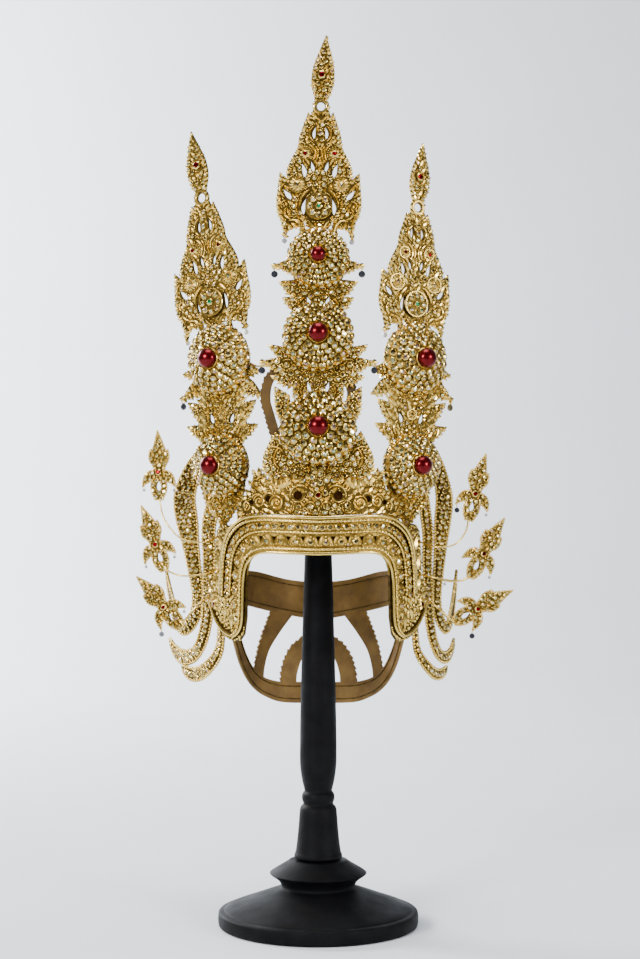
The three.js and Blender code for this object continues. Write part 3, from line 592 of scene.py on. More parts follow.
def tooth_template():
    """A small pointed leaf with a ridge down its middle, a unit long, lying along its own y."""
    count = len(TOOTH_OUTLINE)
    points = [(x, y, -0.3) for x, y in TOOTH_OUTLINE] + [(x, y, 0.06) for x, y in TOOTH_OUTLINE]
    points.append((0, 0.32, 0.34))
    faces = [tuple(range(count))]
    for corner in range(count):
        after = (corner + 1) % count
        faces.append((after, corner, count + corner, count + after))
        faces.append((count + after, count + corner, 2 * count))
    return np.array(points), faces


def set_tooth(group, face, x, y, heading, length, out=0.0):
    """Lays one small leaf with its foot at a place and its tip along the heading."""
    copies = teeth.setdefault(group, Copies(tooth_template()))
    turn = math.atan2(heading[1], heading[0]) - math.pi / 2
    mirror = 1 if x > 0 else -1
    axes = face.axes(x, y) @ turn_about(OUT, turn) @ np.diag([mirror, 1, 1])
    copies.put(face.lay(x, y, out), axes, length)


def flame(group, face, x, y, lean, length, width, rise):
    """A carved leaf on both sides of the middle: foot, lean from upright in degrees, and size in mm."""
    shape = np.array([width / LEAF_BREADTH, length, rise / LEAF_RIDGE]) * MM
    covered = []
    for side in (-1, 1):
        heading = (side * math.sin(math.radians(lean)), math.cos(math.radians(lean)))
        set_tooth(group, face, side * x * MM, y * MM, heading, shape, 0.2 * MM)
        for share in (0.2, 0.45, 0.7):
            spot = np.array([side * x, y]) * MM + np.array(heading) * length * share * MM
            covered.append((*spot, 0.36 * width * MM))
    return covered


def fill_leaves(group, face, field, radii, flow, out=0.0, limits=None):
    """Fills a field with small carved leaves that follow the flow, a way at each place."""
    for radius in radii:
        for x, y, size in field.fill(radius * MM, 0.9, 0.9, limits):
            turn = flow(x, y) + draw.uniform(-0.35, 0.35)
            heading = np.array([math.cos(turn), math.sin(turn)])
            foot = np.array([x, y]) - heading * 1.3 * size
            set_tooth(group, face, *foot, heading, np.array([2.3, 2.7, 3.2]) * size, out)


WIRE_SIDES = 6
HOOP_STEPS = 28


def wire_ring(radius, wire, steps):
    """Points and faces of a round ring of wire, flat about its own middle."""
    points = []
    faces = []
    for step in range(steps):
        turn = 2 * math.pi * step / steps
        low, high = step * WIRE_SIDES, (step + 1) % steps * WIRE_SIDES
        for side in range(WIRE_SIDES):
            angle = 2 * math.pi * side / WIRE_SIDES
            reach = radius + wire * math.cos(angle)
            points.append((reach * math.cos(turn), reach * math.sin(turn), wire * math.sin(angle)))
            after = (side + 1) % WIRE_SIDES
            faces.append((low + side, high + side, high + after, low + after))
    return np.array(points), faces


def hoop(group, face, x, y, radius, wire, out):
    """A round ring lying on a face, in metres."""
    points, faces = wire_ring(radius, wire, HOOP_STEPS)
    add_relief(group, face.lay(*(points + (x, y, out)).T), faces)


def rosette(group, face, x, y, radius, petals, tint, out):
    """A round setting: a ring, a whorl of petals and a stone in the middle. Sizes are in mm."""
    centre = np.array([x, y]) * MM
    hoop(group, face, *centre, (radius - 0.6) * MM, 0.75 * MM, out + 0.4 * MM)
    for petal in range(petals):
        turn = 2 * math.pi * petal / petals
        heading = np.array([math.cos(turn), math.sin(turn)])
        foot = centre + heading * 0.3 * radius * MM
        set_tooth(group, face, *foot, heading, 0.62 * radius * MM, out + 0.5 * MM)
    stone = max((0.38 if tint is None else 0.52) * radius, 1.9) * MM
    set_stone(group, face.lay(*centre, out + 0.6 * MM), face.axes(*centre), stone, tint)
    return [(*centre, (radius + 0.1) * MM)]


# Lines on the band are [degrees from the front, height in mm], from the middle to a lappet's tip.
FACE_LINE = [
    [0, 339.4], [15, 340.2], [26, 341], [31, 338.5], [36, 331], [38.2, 318], [38.6, 292], [39, 276],
    [41, 268.5], [44, 265],
]
TOP_LINE = [
    [0, 366], [15, 367], [29, 368], [36, 366], [42, 360.5], [47, 352], [50, 340], [51.4, 322], [52, 299],
    [50.5, 282], [47.5, 270.5],
]
OUTER_LINE = [[44, 265], [50, 268], [56, 276], [61, 287], [65, 299]]


def band_line(rows):
    return np.array([(math.radians(angle) * BAND_RADIUS, height * MM) for angle, height in rows])


def even(line, count):
    run = np.r_[0, np.cumsum(np.hypot(*np.diff(line, axis=0).T))]
    along = np.linspace(0, run[-1], count)
    return np.stack([np.interp(along, run, line[:, 0]), np.interp(along, run, line[:, 1])], -1)


def both_ways(line):
    """The line and its mirror image joined at the middle, from left to right."""
    return np.concatenate([line[:0:-1] * (-1, 1), line])


face_line = even(curve_through(band_line(FACE_LINE)), 80)
top_line = even(curve_through(band_line(TOP_LINE)), 80)
outer_line = curve_through(band_line(OUTER_LINE))


def between(share):
    """A line of the band between the face edge, at 0, and the top edge, at 1."""
    return both_ways(face_line * (1 - share) + top_line * share)


CORD = 1.05 * MM
CORD_OUT = 2.8 * MM
INNER_CORD_OUT = 1.4 * MM
ROW_END = 299 * MM
# Cords that run along the band: [share between its edges, how far out, twist, lowest point].
CORDS = [
    [-0.08, CORD_OUT, 0, 0], [0.05, CORD_OUT, 1, 0], [0.58, INNER_CORD_OUT, 1, ROW_END],
    [0.94, CORD_OUT, 1, ROW_END], [1.07, CORD_OUT, 0, ROW_END],
]
keep_out = []
for share, out, twist, lowest in CORDS:
    line = between(share)
    line = line[line[:, 1] > lowest]
    rope("band", band_face, line, CORD, out, twist)
    keep_out += discs_along(line, 1.3 * MM)
for side in (-1, 1):
    line = outer_line * (side, 1)
    rope("band", band_face, line, CORD, CORD_OUT, 0)
    keep_out += discs_along(line, 1.4 * MM)


def course(group, face, first, second, rise):
    """A flat raised course between two lines of as many points."""
    rings = []
    for (ax, ay), (bx, by) in zip(first, second):
        levels = np.array([-0.3 * MM, rise, rise, -0.3 * MM])
        rings.append(face.lay(np.array([ax, ax, bx, bx]), np.array([ay, ay, by, by]), levels))
    add_relief(group, *swept(rings))


def pad(group, face, centre, ahead, rise):
    """A raised lozenge with soft sides on the band, its foot along the way ahead."""
    rings = []
    for grow, level in ((1, -0.3 * MM), (1, 0.5 * rise), (0.8, rise), (0.1, 1.15 * rise)):
        local = np.array(LOZENGE_OUTLINE) * grow * MM
        across = centre[0] + local[:, 0] * ahead[0] - local[:, 1] * ahead[1]
        up = centre[1] + local[:, 0] * ahead[1] + local[:, 1] * ahead[0]
        rings.append(face.lay(across, up, level))
    add_relief(group, *swept(rings))


# A row of round stones stands on a raised course below the top cords.
ROW_SHARE = 0.76
ROW_SIDES = (0.66, 0.86)
ROW_RISE = 0.9 * MM
ROW_STONE = 3.1 * MM
ROW_PITCH = 6.7 * MM
ROW_GRAIN_APART = 0.27
ROW_GRAIN = 0.95 * MM
ROW_KEPT = 3.4 * MM
band_spots = []
on_row = between(ROW_SHARE)[:, 1] > ROW_END
course("band_courses", band_face, *(between(share)[on_row] for share in ROW_SIDES), ROW_RISE)
row_stones = [(x, y, ROW_STONE) for x, y in resample(between(ROW_SHARE)[on_row], ROW_PITCH)]
set_stones("band", band_face, row_stones, ROW_RISE)
for (ax, ay, _), (bx, by, _) in zip(row_stones, row_stones[1:]):
    ahead = np.array([bx - ax, by - ay])
    middle = np.array([ax + bx, ay + by]) / 2
    for shift in (-ROW_GRAIN_APART, ROW_GRAIN_APART):
        spot = middle + np.array([-ahead[1], ahead[0]]) * shift
        set_grains("band", band_face, [(*spot, ROW_GRAIN)], ROW_RISE)
band_spots += row_stones + discs_along(between(ROW_SHARE)[on_row], ROW_KEPT)
# Upright lozenges with a stone each stand between the pierced triangles and on down the lappets.
TRIANGLE_STEP = 7
LOZENGE_SHARE = 0.32
LOZENGE_PITCH = math.radians(TRIANGLE_STEP) * BAND_RADIUS
LOZENGE_RISE = 1.5 * MM
LOZENGE_END = 283 * MM
LOZENGE_HALF = [(1.4, 5.3), (3.4, 4.2), (5, 1.4), (6, -2), (5.9, -5.2)]
LOZENGE_OUTLINE = [(-x, y) for x, y in reversed(LOZENGE_HALF)] + LOZENGE_HALF
LOZENGE_STONE_DROP = 1.2 * MM
LOZENGE_KEPT = 5.6 * MM
LOZENGE_STONE = 2.8 * MM
LOZENGE_GRAINS = [[-3.9, -3.6, 1], [3.9, -3.6, 1], [0, 3.6, 1], [-2.6, 1.9, 0.8], [2.6, 1.9, 0.8]]
lozenge_line = face_line * (1 - LOZENGE_SHARE) + top_line * LOZENGE_SHARE
lozenge_run = np.r_[0, np.cumsum(np.hypot(*np.diff(lozenge_line, axis=0).T))]
lozenge_ahead = np.gradient(lozenge_line, axis=0)
for along in np.arange(LOZENGE_PITCH / 2, lozenge_run[-1], LOZENGE_PITCH):
    x, y, dx, dy = (np.interp(along, lozenge_run, values) for values in (*lozenge_line.T, *lozenge_ahead.T))
    if y < LOZENGE_END:
        continue
    dx, dy = np.array([dx, dy]) / math.hypot(dx, dy)
    for side in (-1, 1):
        centre, ahead = np.array([side * x, y]), (dx, side * dy)
        pad("band_courses", band_face, centre, ahead, LOZENGE_RISE)
        normal = np.array([-ahead[1], ahead[0]])
        spot = centre - normal * LOZENGE_STONE_DROP
        set_stone("band", band_lay(*spot, 1.1 * LOZENGE_RISE), band_axes(*spot), LOZENGE_STONE)
        for gx, gy, radius in LOZENGE_GRAINS:
            place = centre + (np.array(ahead) * gx + normal * gy) * MM
            set_grains("band", band_face, [(*place, radius * MM)], 0.9 * LOZENGE_RISE)
        band_spots.append((*centre, LOZENGE_KEPT))
TRIANGLE_UP = 350 * MM
TRIANGLE_KEPT = 3.2 * MM
TRIANGLES_A_SIDE = 4
for step in range(-TRIANGLES_A_SIDE, TRIANGLES_A_SIDE + 1):
    band_spots.append((math.radians(step * TRIANGLE_STEP) * BAND_RADIUS, TRIANGLE_UP, TRIANGLE_KEPT))
# Carved leaves on the lappets: [across, up, lean from upright, length, width, rise].
LAPPET_LEAVES = [
    [98.5, 339, 8, 15, 6, 2.2], [102, 322, 8, 15, 6, 2.2], [102.5, 305, 12, 14, 6, 2.2],
    [84, 284, 180, 15, 6, 2.6],
    [92, 289, 172, 12, 5, 2], [114, 300, 60, 9, 5, 1.6], [114.6, 295, 110, 6, 4, 1.4],
]
for row in LAPPET_LEAVES:
    band_spots += flame("band", band_face, *row)
LAPPET_RED = (107.6, 291, 6.6)
for side in (-1, 1):
    band_spots += rosette("band", band_face, side * LAPPET_RED[0], *LAPPET_RED[1:], 10, RED, 0)
band_edges = outline("forehead_band", band_face)
band_field = Field(band_edges, keep_out + band_spots)


def on_lappet(spots):
    return np.abs(spots[:, 0]) > LAPPET_FROM


def lappet_flow(x, y):
    """Leaves stand up and outward on a lappet's wing and point down toward its tip."""
    return math.atan2(1 if y > ROW_END else -1, 0.4 * np.sign(x))


LAPPET_FROM = 66 * MM
set_stones("band", band_face, band_field.fill(2 * MM, 1.0, 1.9, on_lappet))
fill_leaves("band", band_face, band_field, (2.1, 1.6), lappet_flow, 0, on_lappet)
set_stones("band", band_face, band_field.fill(1.7 * MM, 1.0, 1.02))
for radius in (1.2 * MM, 0.8 * MM):
    set_grains("band", band_face, band_field.fill(radius, 0.9))
# A dark sheet of painted shade closes the pierced triangles from behind, so that they show as shadowed holes.
shade_sheet_turn = np.radians(np.linspace(-31, 31, 32))
SHADE_SHEET_DEPTH = 1.9 * MM
SHADE_SHEET_UP = (346.5 * MM, 353.5 * MM)
shade_sheet = [
    band_lay(np.array([turn] * 4) * BAND_RADIUS, np.array([*SHADE_SHEET_UP, *SHADE_SHEET_UP[::-1]]),
             -SHADE_SHEET_DEPTH - np.array([0, 0, 0.4, 0.4]) * MM)
    for turn in shade_sheet_turn
]


hide_back = surface("hide_back", (0.13, 0.066, 0.011), (0.22, 0.12, 0.022), 70, (0.36, 0.5), 0.4, 0.3)


def dress_wall(node, face, dark_from):
    """Gilding on a bent wall's front, a mid gold near the middle that is darkened partly as painted shade,
    the dark ground of painted shade far out, and brown-gold paint on its inside.
    """
    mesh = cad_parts[node].data
    mesh.materials.clear()
    for material in (gold_plain, hide_back, gold_ground_painted_shade):
        mesh.materials.append(material)
    for polygon in mesh.polygons:
        across, up, out = face.flat(np.array([polygon.center]))[0]
        outward = np.array(polygon.normal) @ face.axes(across, up)[:, 2]
        ground = 2 if abs(across) > dark_from else 0
        polygon.material_index = 1 if outward < -0.5 else ground


dress_wall("forehead_band", band_face, LAPPET_FROM)
join_piece("band_shade_sheet", *swept(shade_sheet), painted_shade_hide, "gilded_hide")
join_piece("band_courses", *reliefs["band_courses"], gold_plain, "gilded_hide", (), 50)


def finish_relief(group):
    """Makes the gathered ropes, ridges, grains, collets and stones of one piece."""
    if group in reliefs:
        join_piece(group + "_relief", *reliefs[group], gold_relief, "gilded_hide", (), 50)
    if group in grains:
        grains[group].finish(group + "_grains", gold_relief, "gilded_hide", 60)
    if group in teeth:
        teeth[group].finish(group + "_teeth", gold_relief, "gilded_hide", 30)
    if group in stones:
        collets[group].finish(group + "_collets", gold_relief, "gilded_hide", 50)
        stones[group].finish(group + "_stones", foil_stone, "crystal", 5)


finish_relief("band")

# Front crest: a scroll-topped panel of the same hide standing on the band, pierced by round eyes.
# Paired scrolls flank a small red stone. Stones fill the ground near the middle, and carved leaves
# and grains the rest.
# Scroll rows are [across, up, radius, start, end, width], angles in degrees, for the right side.
FRONT_SCROLLS = [
    [15.5, 387, 8.6, -15, 140, 2.4], [17.4, 387, 5.6, 165, 335, 1.6], [6.4, 400, 5.2, -80, 120, 1.9],
    [43.5, 383.4, 5.6, -130, 150, 2.2], [35.6, 378.8, 3.9, 0, 350, 1.7], [29, 391, 5.4, 20, 205, 2.0],
    [25.5, 376.6, 4.6, 150, 335, 1.7], [55, 383, 5.2, -40, 175, 2.0], [63.5, 377.5, 5, -60, 140, 1.8],
    [7, 377, 4.4, 20, 190, 1.7], [50, 397, 6, 30, 200, 2.0], [56, 397, 4, -60, 90, 1.7],
    [41, 394, 4, 10, 180, 1.7],
]


LEAST_ARC = 8


def scrolls(group, face, rows, edges):
    """Lays scroll ridges on both sides, only where the plate is, and returns the discs they cover."""
    covered = []
    for x, y, radius, start, end, width in rows:
        for side in (-1, 1):
            line = arc(x, y, radius, start, end) * (side, 1)
            inside = edge_distance(line, edges) > 0.3 * width * MM
            runs = np.split(np.arange(len(line)), np.flatnonzero(np.diff(inside)) + 1)
            longest = max((run for run in runs if inside[run[0]]), key=len, default=())
            if len(longest) < LEAST_ARC:
                continue
            line = line[longest]
            ridge(group, face, line, width * MM, 0.85 * width * MM)
            covered += discs_along(line, (0.5 * width + 0.1) * MM)
    return covered


GROUND_STONES = (2.75, 2.2, 1.75)
GROUND_GRAINS = (1.05, 0.72)
# How near the edge and how far apart, in radii, stones and grains are set.
STONE_SETTING = (0.86, 1.03)
GRAIN_SETTING = (0.8, 1.04)


def fill_ground(group, face, field):
    """Fills what is left of a field with stones, big ones first, and then with grains."""
    for radius in GROUND_STONES:
        set_stones(group, face, field.fill(radius * MM, *STONE_SETTING))
    for radius in GROUND_GRAINS:
        set_grains(group, face, field.fill(radius * MM, *GRAIN_SETTING))


def up_and_out(x, y):
    """Leaves stand up and lean away from the middle."""
    return math.atan2(1, 0.6 * np.sign(x))


def leafy_ground(group, face, field, apart):
    """Fills a field with spaced stones, carved leaves between them and grains in what is left."""
    set_stones(group, face, field.fill(2.2 * MM, 0.9, apart))
    fill_leaves(group, face, field, (2.1, 1.5), up_and_out)
    set_grains(group, face, field.fill(0.75 * MM, *GRAIN_SETTING))


front_edges = outline("front_crest", band_face)
keep_out = scrolls("front_crest", band_face, FRONT_SCROLLS, front_edges)
drop_spot = (0, 387 * MM, 3.4 * MM)
set_stone("front_crest", band_lay(*drop_spot[:2], 0.3 * MM), band_axes(*drop_spot[:2]), drop_spot[2], RED)
keep_out.append(drop_spot)
# Rolled leaves: [across, up, radius, turns], for the right side.
FRONT_WHORLS = [[36.4, 380.6, 6.6, 1.9], [52.6, 381.8, 5.8, 1.8], [65.5, 377, 4.4, 1.6], [25, 394, 4.6, 1.5]]
for x, y, radius, turns in FRONT_WHORLS:
    for side in (-1, 1):
        turn = np.linspace(0, 2 * math.pi * turns, 48)
        reach = radius * (1 - 0.8 * np.linspace(0, 1, 48))
        line = np.stack([side * (x + reach * np.cos(turn)), y + reach * np.sin(turn)], -1) * MM
        ridge("front_crest", band_face, line, 0.34 * radius * MM, 0.32 * radius * MM)
        set_grains("front_crest", band_face, [(side * x * MM, y * MM, 0.2 * radius * MM)], 0.4 * MM)
        keep_out.append((side * x * MM, y * MM, (radius + 0.9) * MM))
front_field = Field(front_edges, keep_out)
STONE_ZONE = 27 * MM


def middle_zone(spots):
    return np.abs(spots[:, 0]) < STONE_ZONE


def outward_flow(x, y):
    """Leaves lean away from the middle about as much as they stand up."""
    return math.atan2(0.8, 0.9 * np.sign(x))


for radius in (2.7, 2.1):
    set_stones("front_crest", band_face, front_field.fill(radius * MM, *STONE_SETTING, middle_zone))
fill_leaves("front_crest", band_face, front_field, (2.9, 2.2, 1.7), outward_flow)
set_grains("front_crest", band_face, front_field.fill(0.8 * MM, *GRAIN_SETTING))
# The round eyes are kept dark with painted shade: a small dark disc is set in the depth of each.
# Rows are [degrees from the front, height, radius].
FRONT_EYES = [[9.5, 387, 4.6], [24, 384, 3.6], [33, 381, 3]]
for angle, height, radius in FRONT_EYES:
    for side in (-1, 1):
        points, faces = turned([(0.5, -2.2), (radius, -2.2), (radius, -1.7), (0.5, -1.7)], 16)
        across = side * math.radians(angle) * BAND_RADIUS + points[:, 0] * MM
        add_relief("front_eye_shade", band_lay(across, (height + points[:, 1]) * MM, points[:, 2] * MM), faces)
join_piece("front_crest_eye_shade", *reliefs["front_eye_shade"], painted_shade_hide, "gilded_hide")
# Leaf tips stand along the top edge: [degrees from the front, height, lean, length], for the right side.
FRONT_TIPS = [
    [1.2, 407, 8, 6], [4.4, 402, 20, 6], [7.6, 398.6, 10, 6], [10.6, 399.4, 15, 6], [13.6, 397, 20, 8],
    [15, 396, 0, 9], [16.4, 394.6, 10, 9], [17.8, 394, -6, 10], [19, 393.4, 5, 10], [20.2, 394.2, -10, 9],
    [21.4, 395.4, 0, 8], [23.8, 398, -5, 6], [26.4, 401.6, -5, 6], [28.8, 406.4, 5, 6],
    [31.2, 405.4, 25, 6],
    [33, 397, 40, 6], [34.6, 389.4, 40, 6], [37.2, 384.6, 40, 6], [39.6, 380.6, 45, 6],
]
for angle, height, lean, length in FRONT_TIPS:
    for side in (-1, 1):
        across = side * math.radians(angle) * BAND_RADIUS
        heading = (side * math.sin(math.radians(lean)), math.cos(math.radians(lean)))
        set_tooth("front_crest", band_face, across, (height - 1.2) * MM, heading, length * MM)
# The whole front crest takes the dark ground, painted shade between its scrolls, leaves and stones.
dress_wall("front_crest", band_face, 0)
finish_relief("front_crest")

# Spires: three flat plates of pierced gilded hide, the middle one leaning back a little and the side
# ones turned outward. Each carries stepped bosses, and a pierced crest fixed behind its top.
PLATE = 2.6 * MM
GAP = 0.3 * MM


def flat_face(node, foot_of):
    """The front of a flat plate; foot_of gives its origin and up from the front's normal and offset."""
    points, faces = node_arrays(node)
    sizes = {}
    for corners in faces:
        first, second, third = points[list(corners[:3])]
        normal = np.cross(second - first, third - first)
        size = np.linalg.norm(normal)
        if size > 0 and normal[1] < -0.4 * size:
            normal = normal / size
            key = tuple(np.round(normal, 2)) + (round(float(normal @ first) * 2000),)
            total, weighted = sizes.get(key, (0, 0))
            sizes[key] = (total + size, weighted + size * np.r_[normal, normal @ first])
    total, weighted = max(sizes.values(), key=lambda entry: entry[0])
    normal, offset = weighted[:3] / total, weighted[3] / total
    origin, up = foot_of(normal, offset)
    columns = np.stack([np.cross(up, normal), up, normal], -1)
    return plane(origin, columns)


def plane(origin, columns):
    """A flat face with its origin and the columns across, up and out."""

    def lay(across, up, out):
        across, up, out = np.broadcast_arrays(across, up, out)
        return np.stack([across, up, out], -1) @ columns.T + origin

    def axes(across, up):
        return columns

    def flat(points):
        return (points - origin) @ columns

    return Face(lay, axes, flat)


def spire_face(name, low_boss_height):
    """The front of a spire's plate, its origin at the foot of the axis through its gems."""
    low = node_arrays(name + "_gem_low")[0].mean(0)
    top = node_arrays(name + "_gem_top")[0].mean(0)

    def foot_of(normal, offset):
        up = top - low
        up -= normal * (up @ normal)
        up /= np.linalg.norm(up)
        return low - normal * (low @ normal - offset) - up * low_boss_height * MM, up

    return flat_face(name + "_plate", foot_of)


LEAST_HOLE = 1.2 * MM


def loops(edges):
    """Closed lines through the edges of an outline, the longest first, without mere slivers."""
    after = {}
    for first, second in edges:
        after.setdefault(tuple(first), []).append(tuple(second))
    lines = []
    while after:
        start = next(iter(after))
        line = [start]
        here = start
        while here in after:
            followers = after[here]
            here = followers.pop()
            if not followers:
                del after[line[-1]]
            if here == start:
                break
            line.append(here)
        lines.append(np.array(line))
    spans = [(np.ptp(line[:, 0]) + np.ptp(line[:, 1]), index) for index, line in enumerate(lines)]
    return [lines[index] for span, index in sorted(spans, reverse=True) if span > 2 * LEAST_HOLE]


SHARP = math.radians(62)


def softened(line, rounds=2):
    """A closed line with its blunt corners rounded and its sharp tips kept."""
    for _ in range(rounds):
        before = np.roll(line, 1, axis=0)
        after = np.roll(line, -1, axis=0)
        into, out_of = line - before, after - line
        bend = into[:, 0] * out_of[:, 1] - into[:, 1] * out_of[:, 0]
        turn = np.abs(np.arctan2(bend, (into * out_of).sum(1)))
        soft = []
        for index in range(len(line)):
            if turn[index] > SHARP:
                soft.append(line[index])
            else:
                soft.append(line[index] * 0.75 + before[index] * 0.25)
                soft.append(line[index] * 0.75 + after[index] * 0.25)
        line = np.array(soft)
    return line


EDGE_ROUND = 0.4 * MM


def fine_plate(node, face, lines, front):
    """The plate again with soft outlines and rounded edges; its front is at the level given."""
    points = []
    faces = []
    fronts = []
    for line in lines:
        count = len(line)
        start = len(points)
        ahead = np.roll(line, -1, axis=0) - np.roll(line, 1, axis=0)
        ahead /= np.maximum(np.hypot(ahead[:, 0], ahead[:, 1]), 1e-9)[:, None]
        bulged = line + np.stack([-ahead[:, 1], ahead[:, 0]], -1) * EDGE_ROUND
        rounded = ((line, 0), (bulged, 0.3), (bulged, 0.7), (line, 1))
        for outline_points, depth in rounded:
            level = front - depth * PLATE
            points.extend(face.lay(outline_points[:, 0], outline_points[:, 1], level))
        for row in range(3):
            for index in range(count):
                after = (index + 1) % count
                low = start + row * count
                faces.append((low + index, low + after, low + count + after, low + count + index))
        fronts.append(range(start, start + count))
    order = [corner for part in fronts for corner in part]
    backs = [corner + 3 * len(part) for part in fronts for corner in part]
    flat_lines = [[Vector((x, y, 0)) for x, y in line] for line in lines]
    for triangle in tessellate_polygon(flat_lines):
        faces.append(tuple(order[corner] for corner in triangle))
        faces.append(tuple(backs[corner] for corner in reversed(triangle)))
    # The plate's front is the dark gold ground, painted shade between the stones and relief set on it.
    piece = join_piece(node + "_hide", points, faces, gold_ground_painted_shade, "gilded_hide", (node,), 40)
    piece.data.materials.append(hide_back)
    out = Vector(face.axes(0, 0)[:, OUT])
    for polygon in piece.data.polygons:
        polygon.material_index = 1 if polygon.normal.dot(out) < -0.5 else 0


TEETH_REACH = 0.35


def edge_teeth(group, face, line, length, step):
    """Small leaves along the outer edge of a plate, leaning up, that break up its outline."""
    closed = np.concatenate([line, line[:1]])
    spots = resample(closed, step)[:-1]
    ahead = np.roll(spots, -1, axis=0) - np.roll(spots, 1, axis=0)
    ahead /= np.maximum(np.hypot(ahead[:, 0], ahead[:, 1]), 1e-9)[:, None]
    for (x, y), (dx, dy) in zip(spots, ahead):
        outward = np.array([-dy, dx])
        heading = outward * 0.8 + np.array([0, 0.6])
        foot = np.array([x, y]) - heading * length * (1 - TEETH_REACH)
        size = length * draw.uniform(0.85, 1.15)
        set_tooth(group, face, *foot, heading, size)


red_glass = bpy.data.materials.new("red_glass")
red_glass.use_nodes = True
red_shader = red_glass.node_tree.nodes["Principled BSDF"]
red_shader.inputs["Base Color"].default_value = (0.11, 0.0, 0.002, 1)
red_shader.inputs["Metallic"].default_value = 0.85
red_shader.inputs["Roughness"].default_value = 0.27
red_shader.inputs["Coat Weight"].default_value = 0.1
red_shader.inputs["Coat Roughness"].default_value = 0.02
BOSS_SIDES = 64
TIERS = 4
RIM = 7
BATTER = 1.3
COLLAR = 0.6
# The collar round the red stone: [further out than its seat, above the boss], outside to inside.
COLLAR_LIP = [[0.2, 0], [0.2, 1.6], [-0.2, 2.1], [-0.5, 1.6], [-0.6, 0.2]]
COLLAR_FLOOR = 0.2
GEM_SIDES = 48
GEM_STEPS = 12
TIER_FILL = 0.55
TIER_TILT = math.radians(34)
WALL_TILT = math.radians(70)
WALL_TOP = 3.6
STONE_SEAT = 0.7


def dress_boss(name, level, face, row):
    """A stepped boss with a ring of stones on each step and a smooth red stone on top."""
    height_up, radius, height, gem = row
    seat = gem + COLLAR
    group = f"{name}_boss_{level}"
    profile = [(1, 0), (radius - 0.4, 0), (radius, 0.4), (radius, WALL_TOP), (radius - 0.5, WALL_TOP + 0.7)]
    slope = radius - 1.4 - seat - BATTER
    for tier in range(TIERS):
        foot = radius - 1.4 - slope * tier / TIERS
        low = RIM + (height - RIM) * tier / TIERS
        high = RIM + (height - RIM) * (tier + 1) / TIERS
        profile += [(foot, low), (foot - BATTER, high)]
    stone = TIER_FILL * math.hypot(slope, height - RIM) / (TIERS - 0.7)
    outer, inner = radius - 2.3, seat + 0.4 + 0.86 * stone
    rings = [(radius + 0.1, WALL_TOP - 0.4, WALL_TILT)]
    for tier in range(TIERS):
        ring = outer - (outer - inner) * tier / (TIERS - 1)
        seated = RIM + (height - RIM) * (radius - 1.4 - ring) / slope + STONE_SEAT
        rings.append((ring, seated, TIER_TILT))
    for tier, (ring, seated, tilt) in enumerate(rings):
        count = int(2 * math.pi * ring / (2.02 * stone))
        for step in range(count):
            turn = 2 * math.pi * (step + 0.5 * (tier % 2)) / count
            x, y = math.cos(turn), math.sin(turn)
            out = np.array([x * math.sin(tilt), y * math.sin(tilt), math.cos(tilt)])
            side = np.array([-y, x, 0])
            axes = face.axes(0, 0) @ np.stack([side, np.cross(out, side), out], -1)
            spot = face.lay(x * ring * MM, (height_up + y * ring) * MM, seated * MM)
            set_stone(group, spot, axes, stone * MM)
    profile += [(seat + grow, height + rise) for grow, rise in COLLAR_LIP]
    profile.append((1, height + COLLAR_FLOOR))
    points, faces = turned(profile, BOSS_SIDES)
    points = points * MM
    placed = face.lay(points[:, 0], points[:, 1] + height_up * MM, points[:, 2] + GAP)
    dome = join_piece(group + "_dome", placed, faces, gold_relief, "gilded_hide", (group,), 40)
    # The hollow steps between the rings of stones take the dark ground, painted shade in the hollows.
    dome.data.materials.append(gold_ground_painted_shade)
    for polygon in dome.data.polygons:
        reach = face.flat(np.array([polygon.center]))[0] - np.array([0, height_up * MM, 0])
        apart = math.hypot(reach[0], reach[1]) / MM
        hollow = seat + 0.3 < apart < radius - 1
        polygon.material_index = 1 if hollow and reach[2] > RIM * MM else 0
    finish_relief(group)
    gem_rows = [(0.02, 0), (0.82, 0), (0.96, 0.2)]
    for step in range(GEM_STEPS):
        lift = math.radians(90 * step / GEM_STEPS)
        gem_rows.append((math.cos(lift), 0.4 + 0.85 * math.sin(lift)))
    gem_rows.append((0.02, 1.25))
    points, faces = turned(gem_rows, GEM_SIDES)
    points = points * gem * MM
    placed = face.lay(points[:, 0], points[:, 1] + height_up * MM, points[:, 2] + height * MM + 2 * GAP)
    gem_node = f"{name}_gem_{level}"
    join_piece(gem_node + "_cabochon", placed, faces, red_glass, "red_glass", (gem_node,), 60)


# Rows of bosses are [up, radius, height, gem radius] in mm, as on the plates.
CENTRE_BOSSES = {"low": [44, 31, 18.5, 8.6], "mid": [125, 29, 18, 8.4], "top": [193.5, 25.5, 16.5, 6.6]}
SIDE_BOSSES = {"low": [13, 26.5, 17.5, 8.4], "top": [106, 29, 18, 8.6]}
CENTRE_SCROLLS = [
    [12.3, 166, 6.4, 30, 190, 2.1], [9, 151.5, 8.2, -20, 120, 2.2], [26, 95, 10, 60, 175, 2.2],
    [7.5, 89.5, 7, 20, 165, 2.0], [9, 77.6, 6, -80, 80, 1.9], [27, 19, 11, -55, 65, 2.2],
    [15, 8, 7, 25, 205, 2.0],
    [38, 20, 9, 20, 160, 1.9], [30, 70, 8, -50, 80, 1.9], [35, 112, 7, 20, 150, 1.8],
    [22, 158, 5, -30, 130, 1.7],
]
SIDE_SCROLLS = [
    [7, 68.5, 6.3, 15, 170, 1.9], [10.5, 45, 7.6, -75, 75, 2.2], [20, 45, 8.4, -60, 60, 2.1],
    [20, 66, 6, 0, 140, 1.8],
    [27, 88, 5, 10, 170, 1.7], [6, -20, 6, 0, 180, 1.7], [10, -15, 8, -60, 60, 1.8],
]
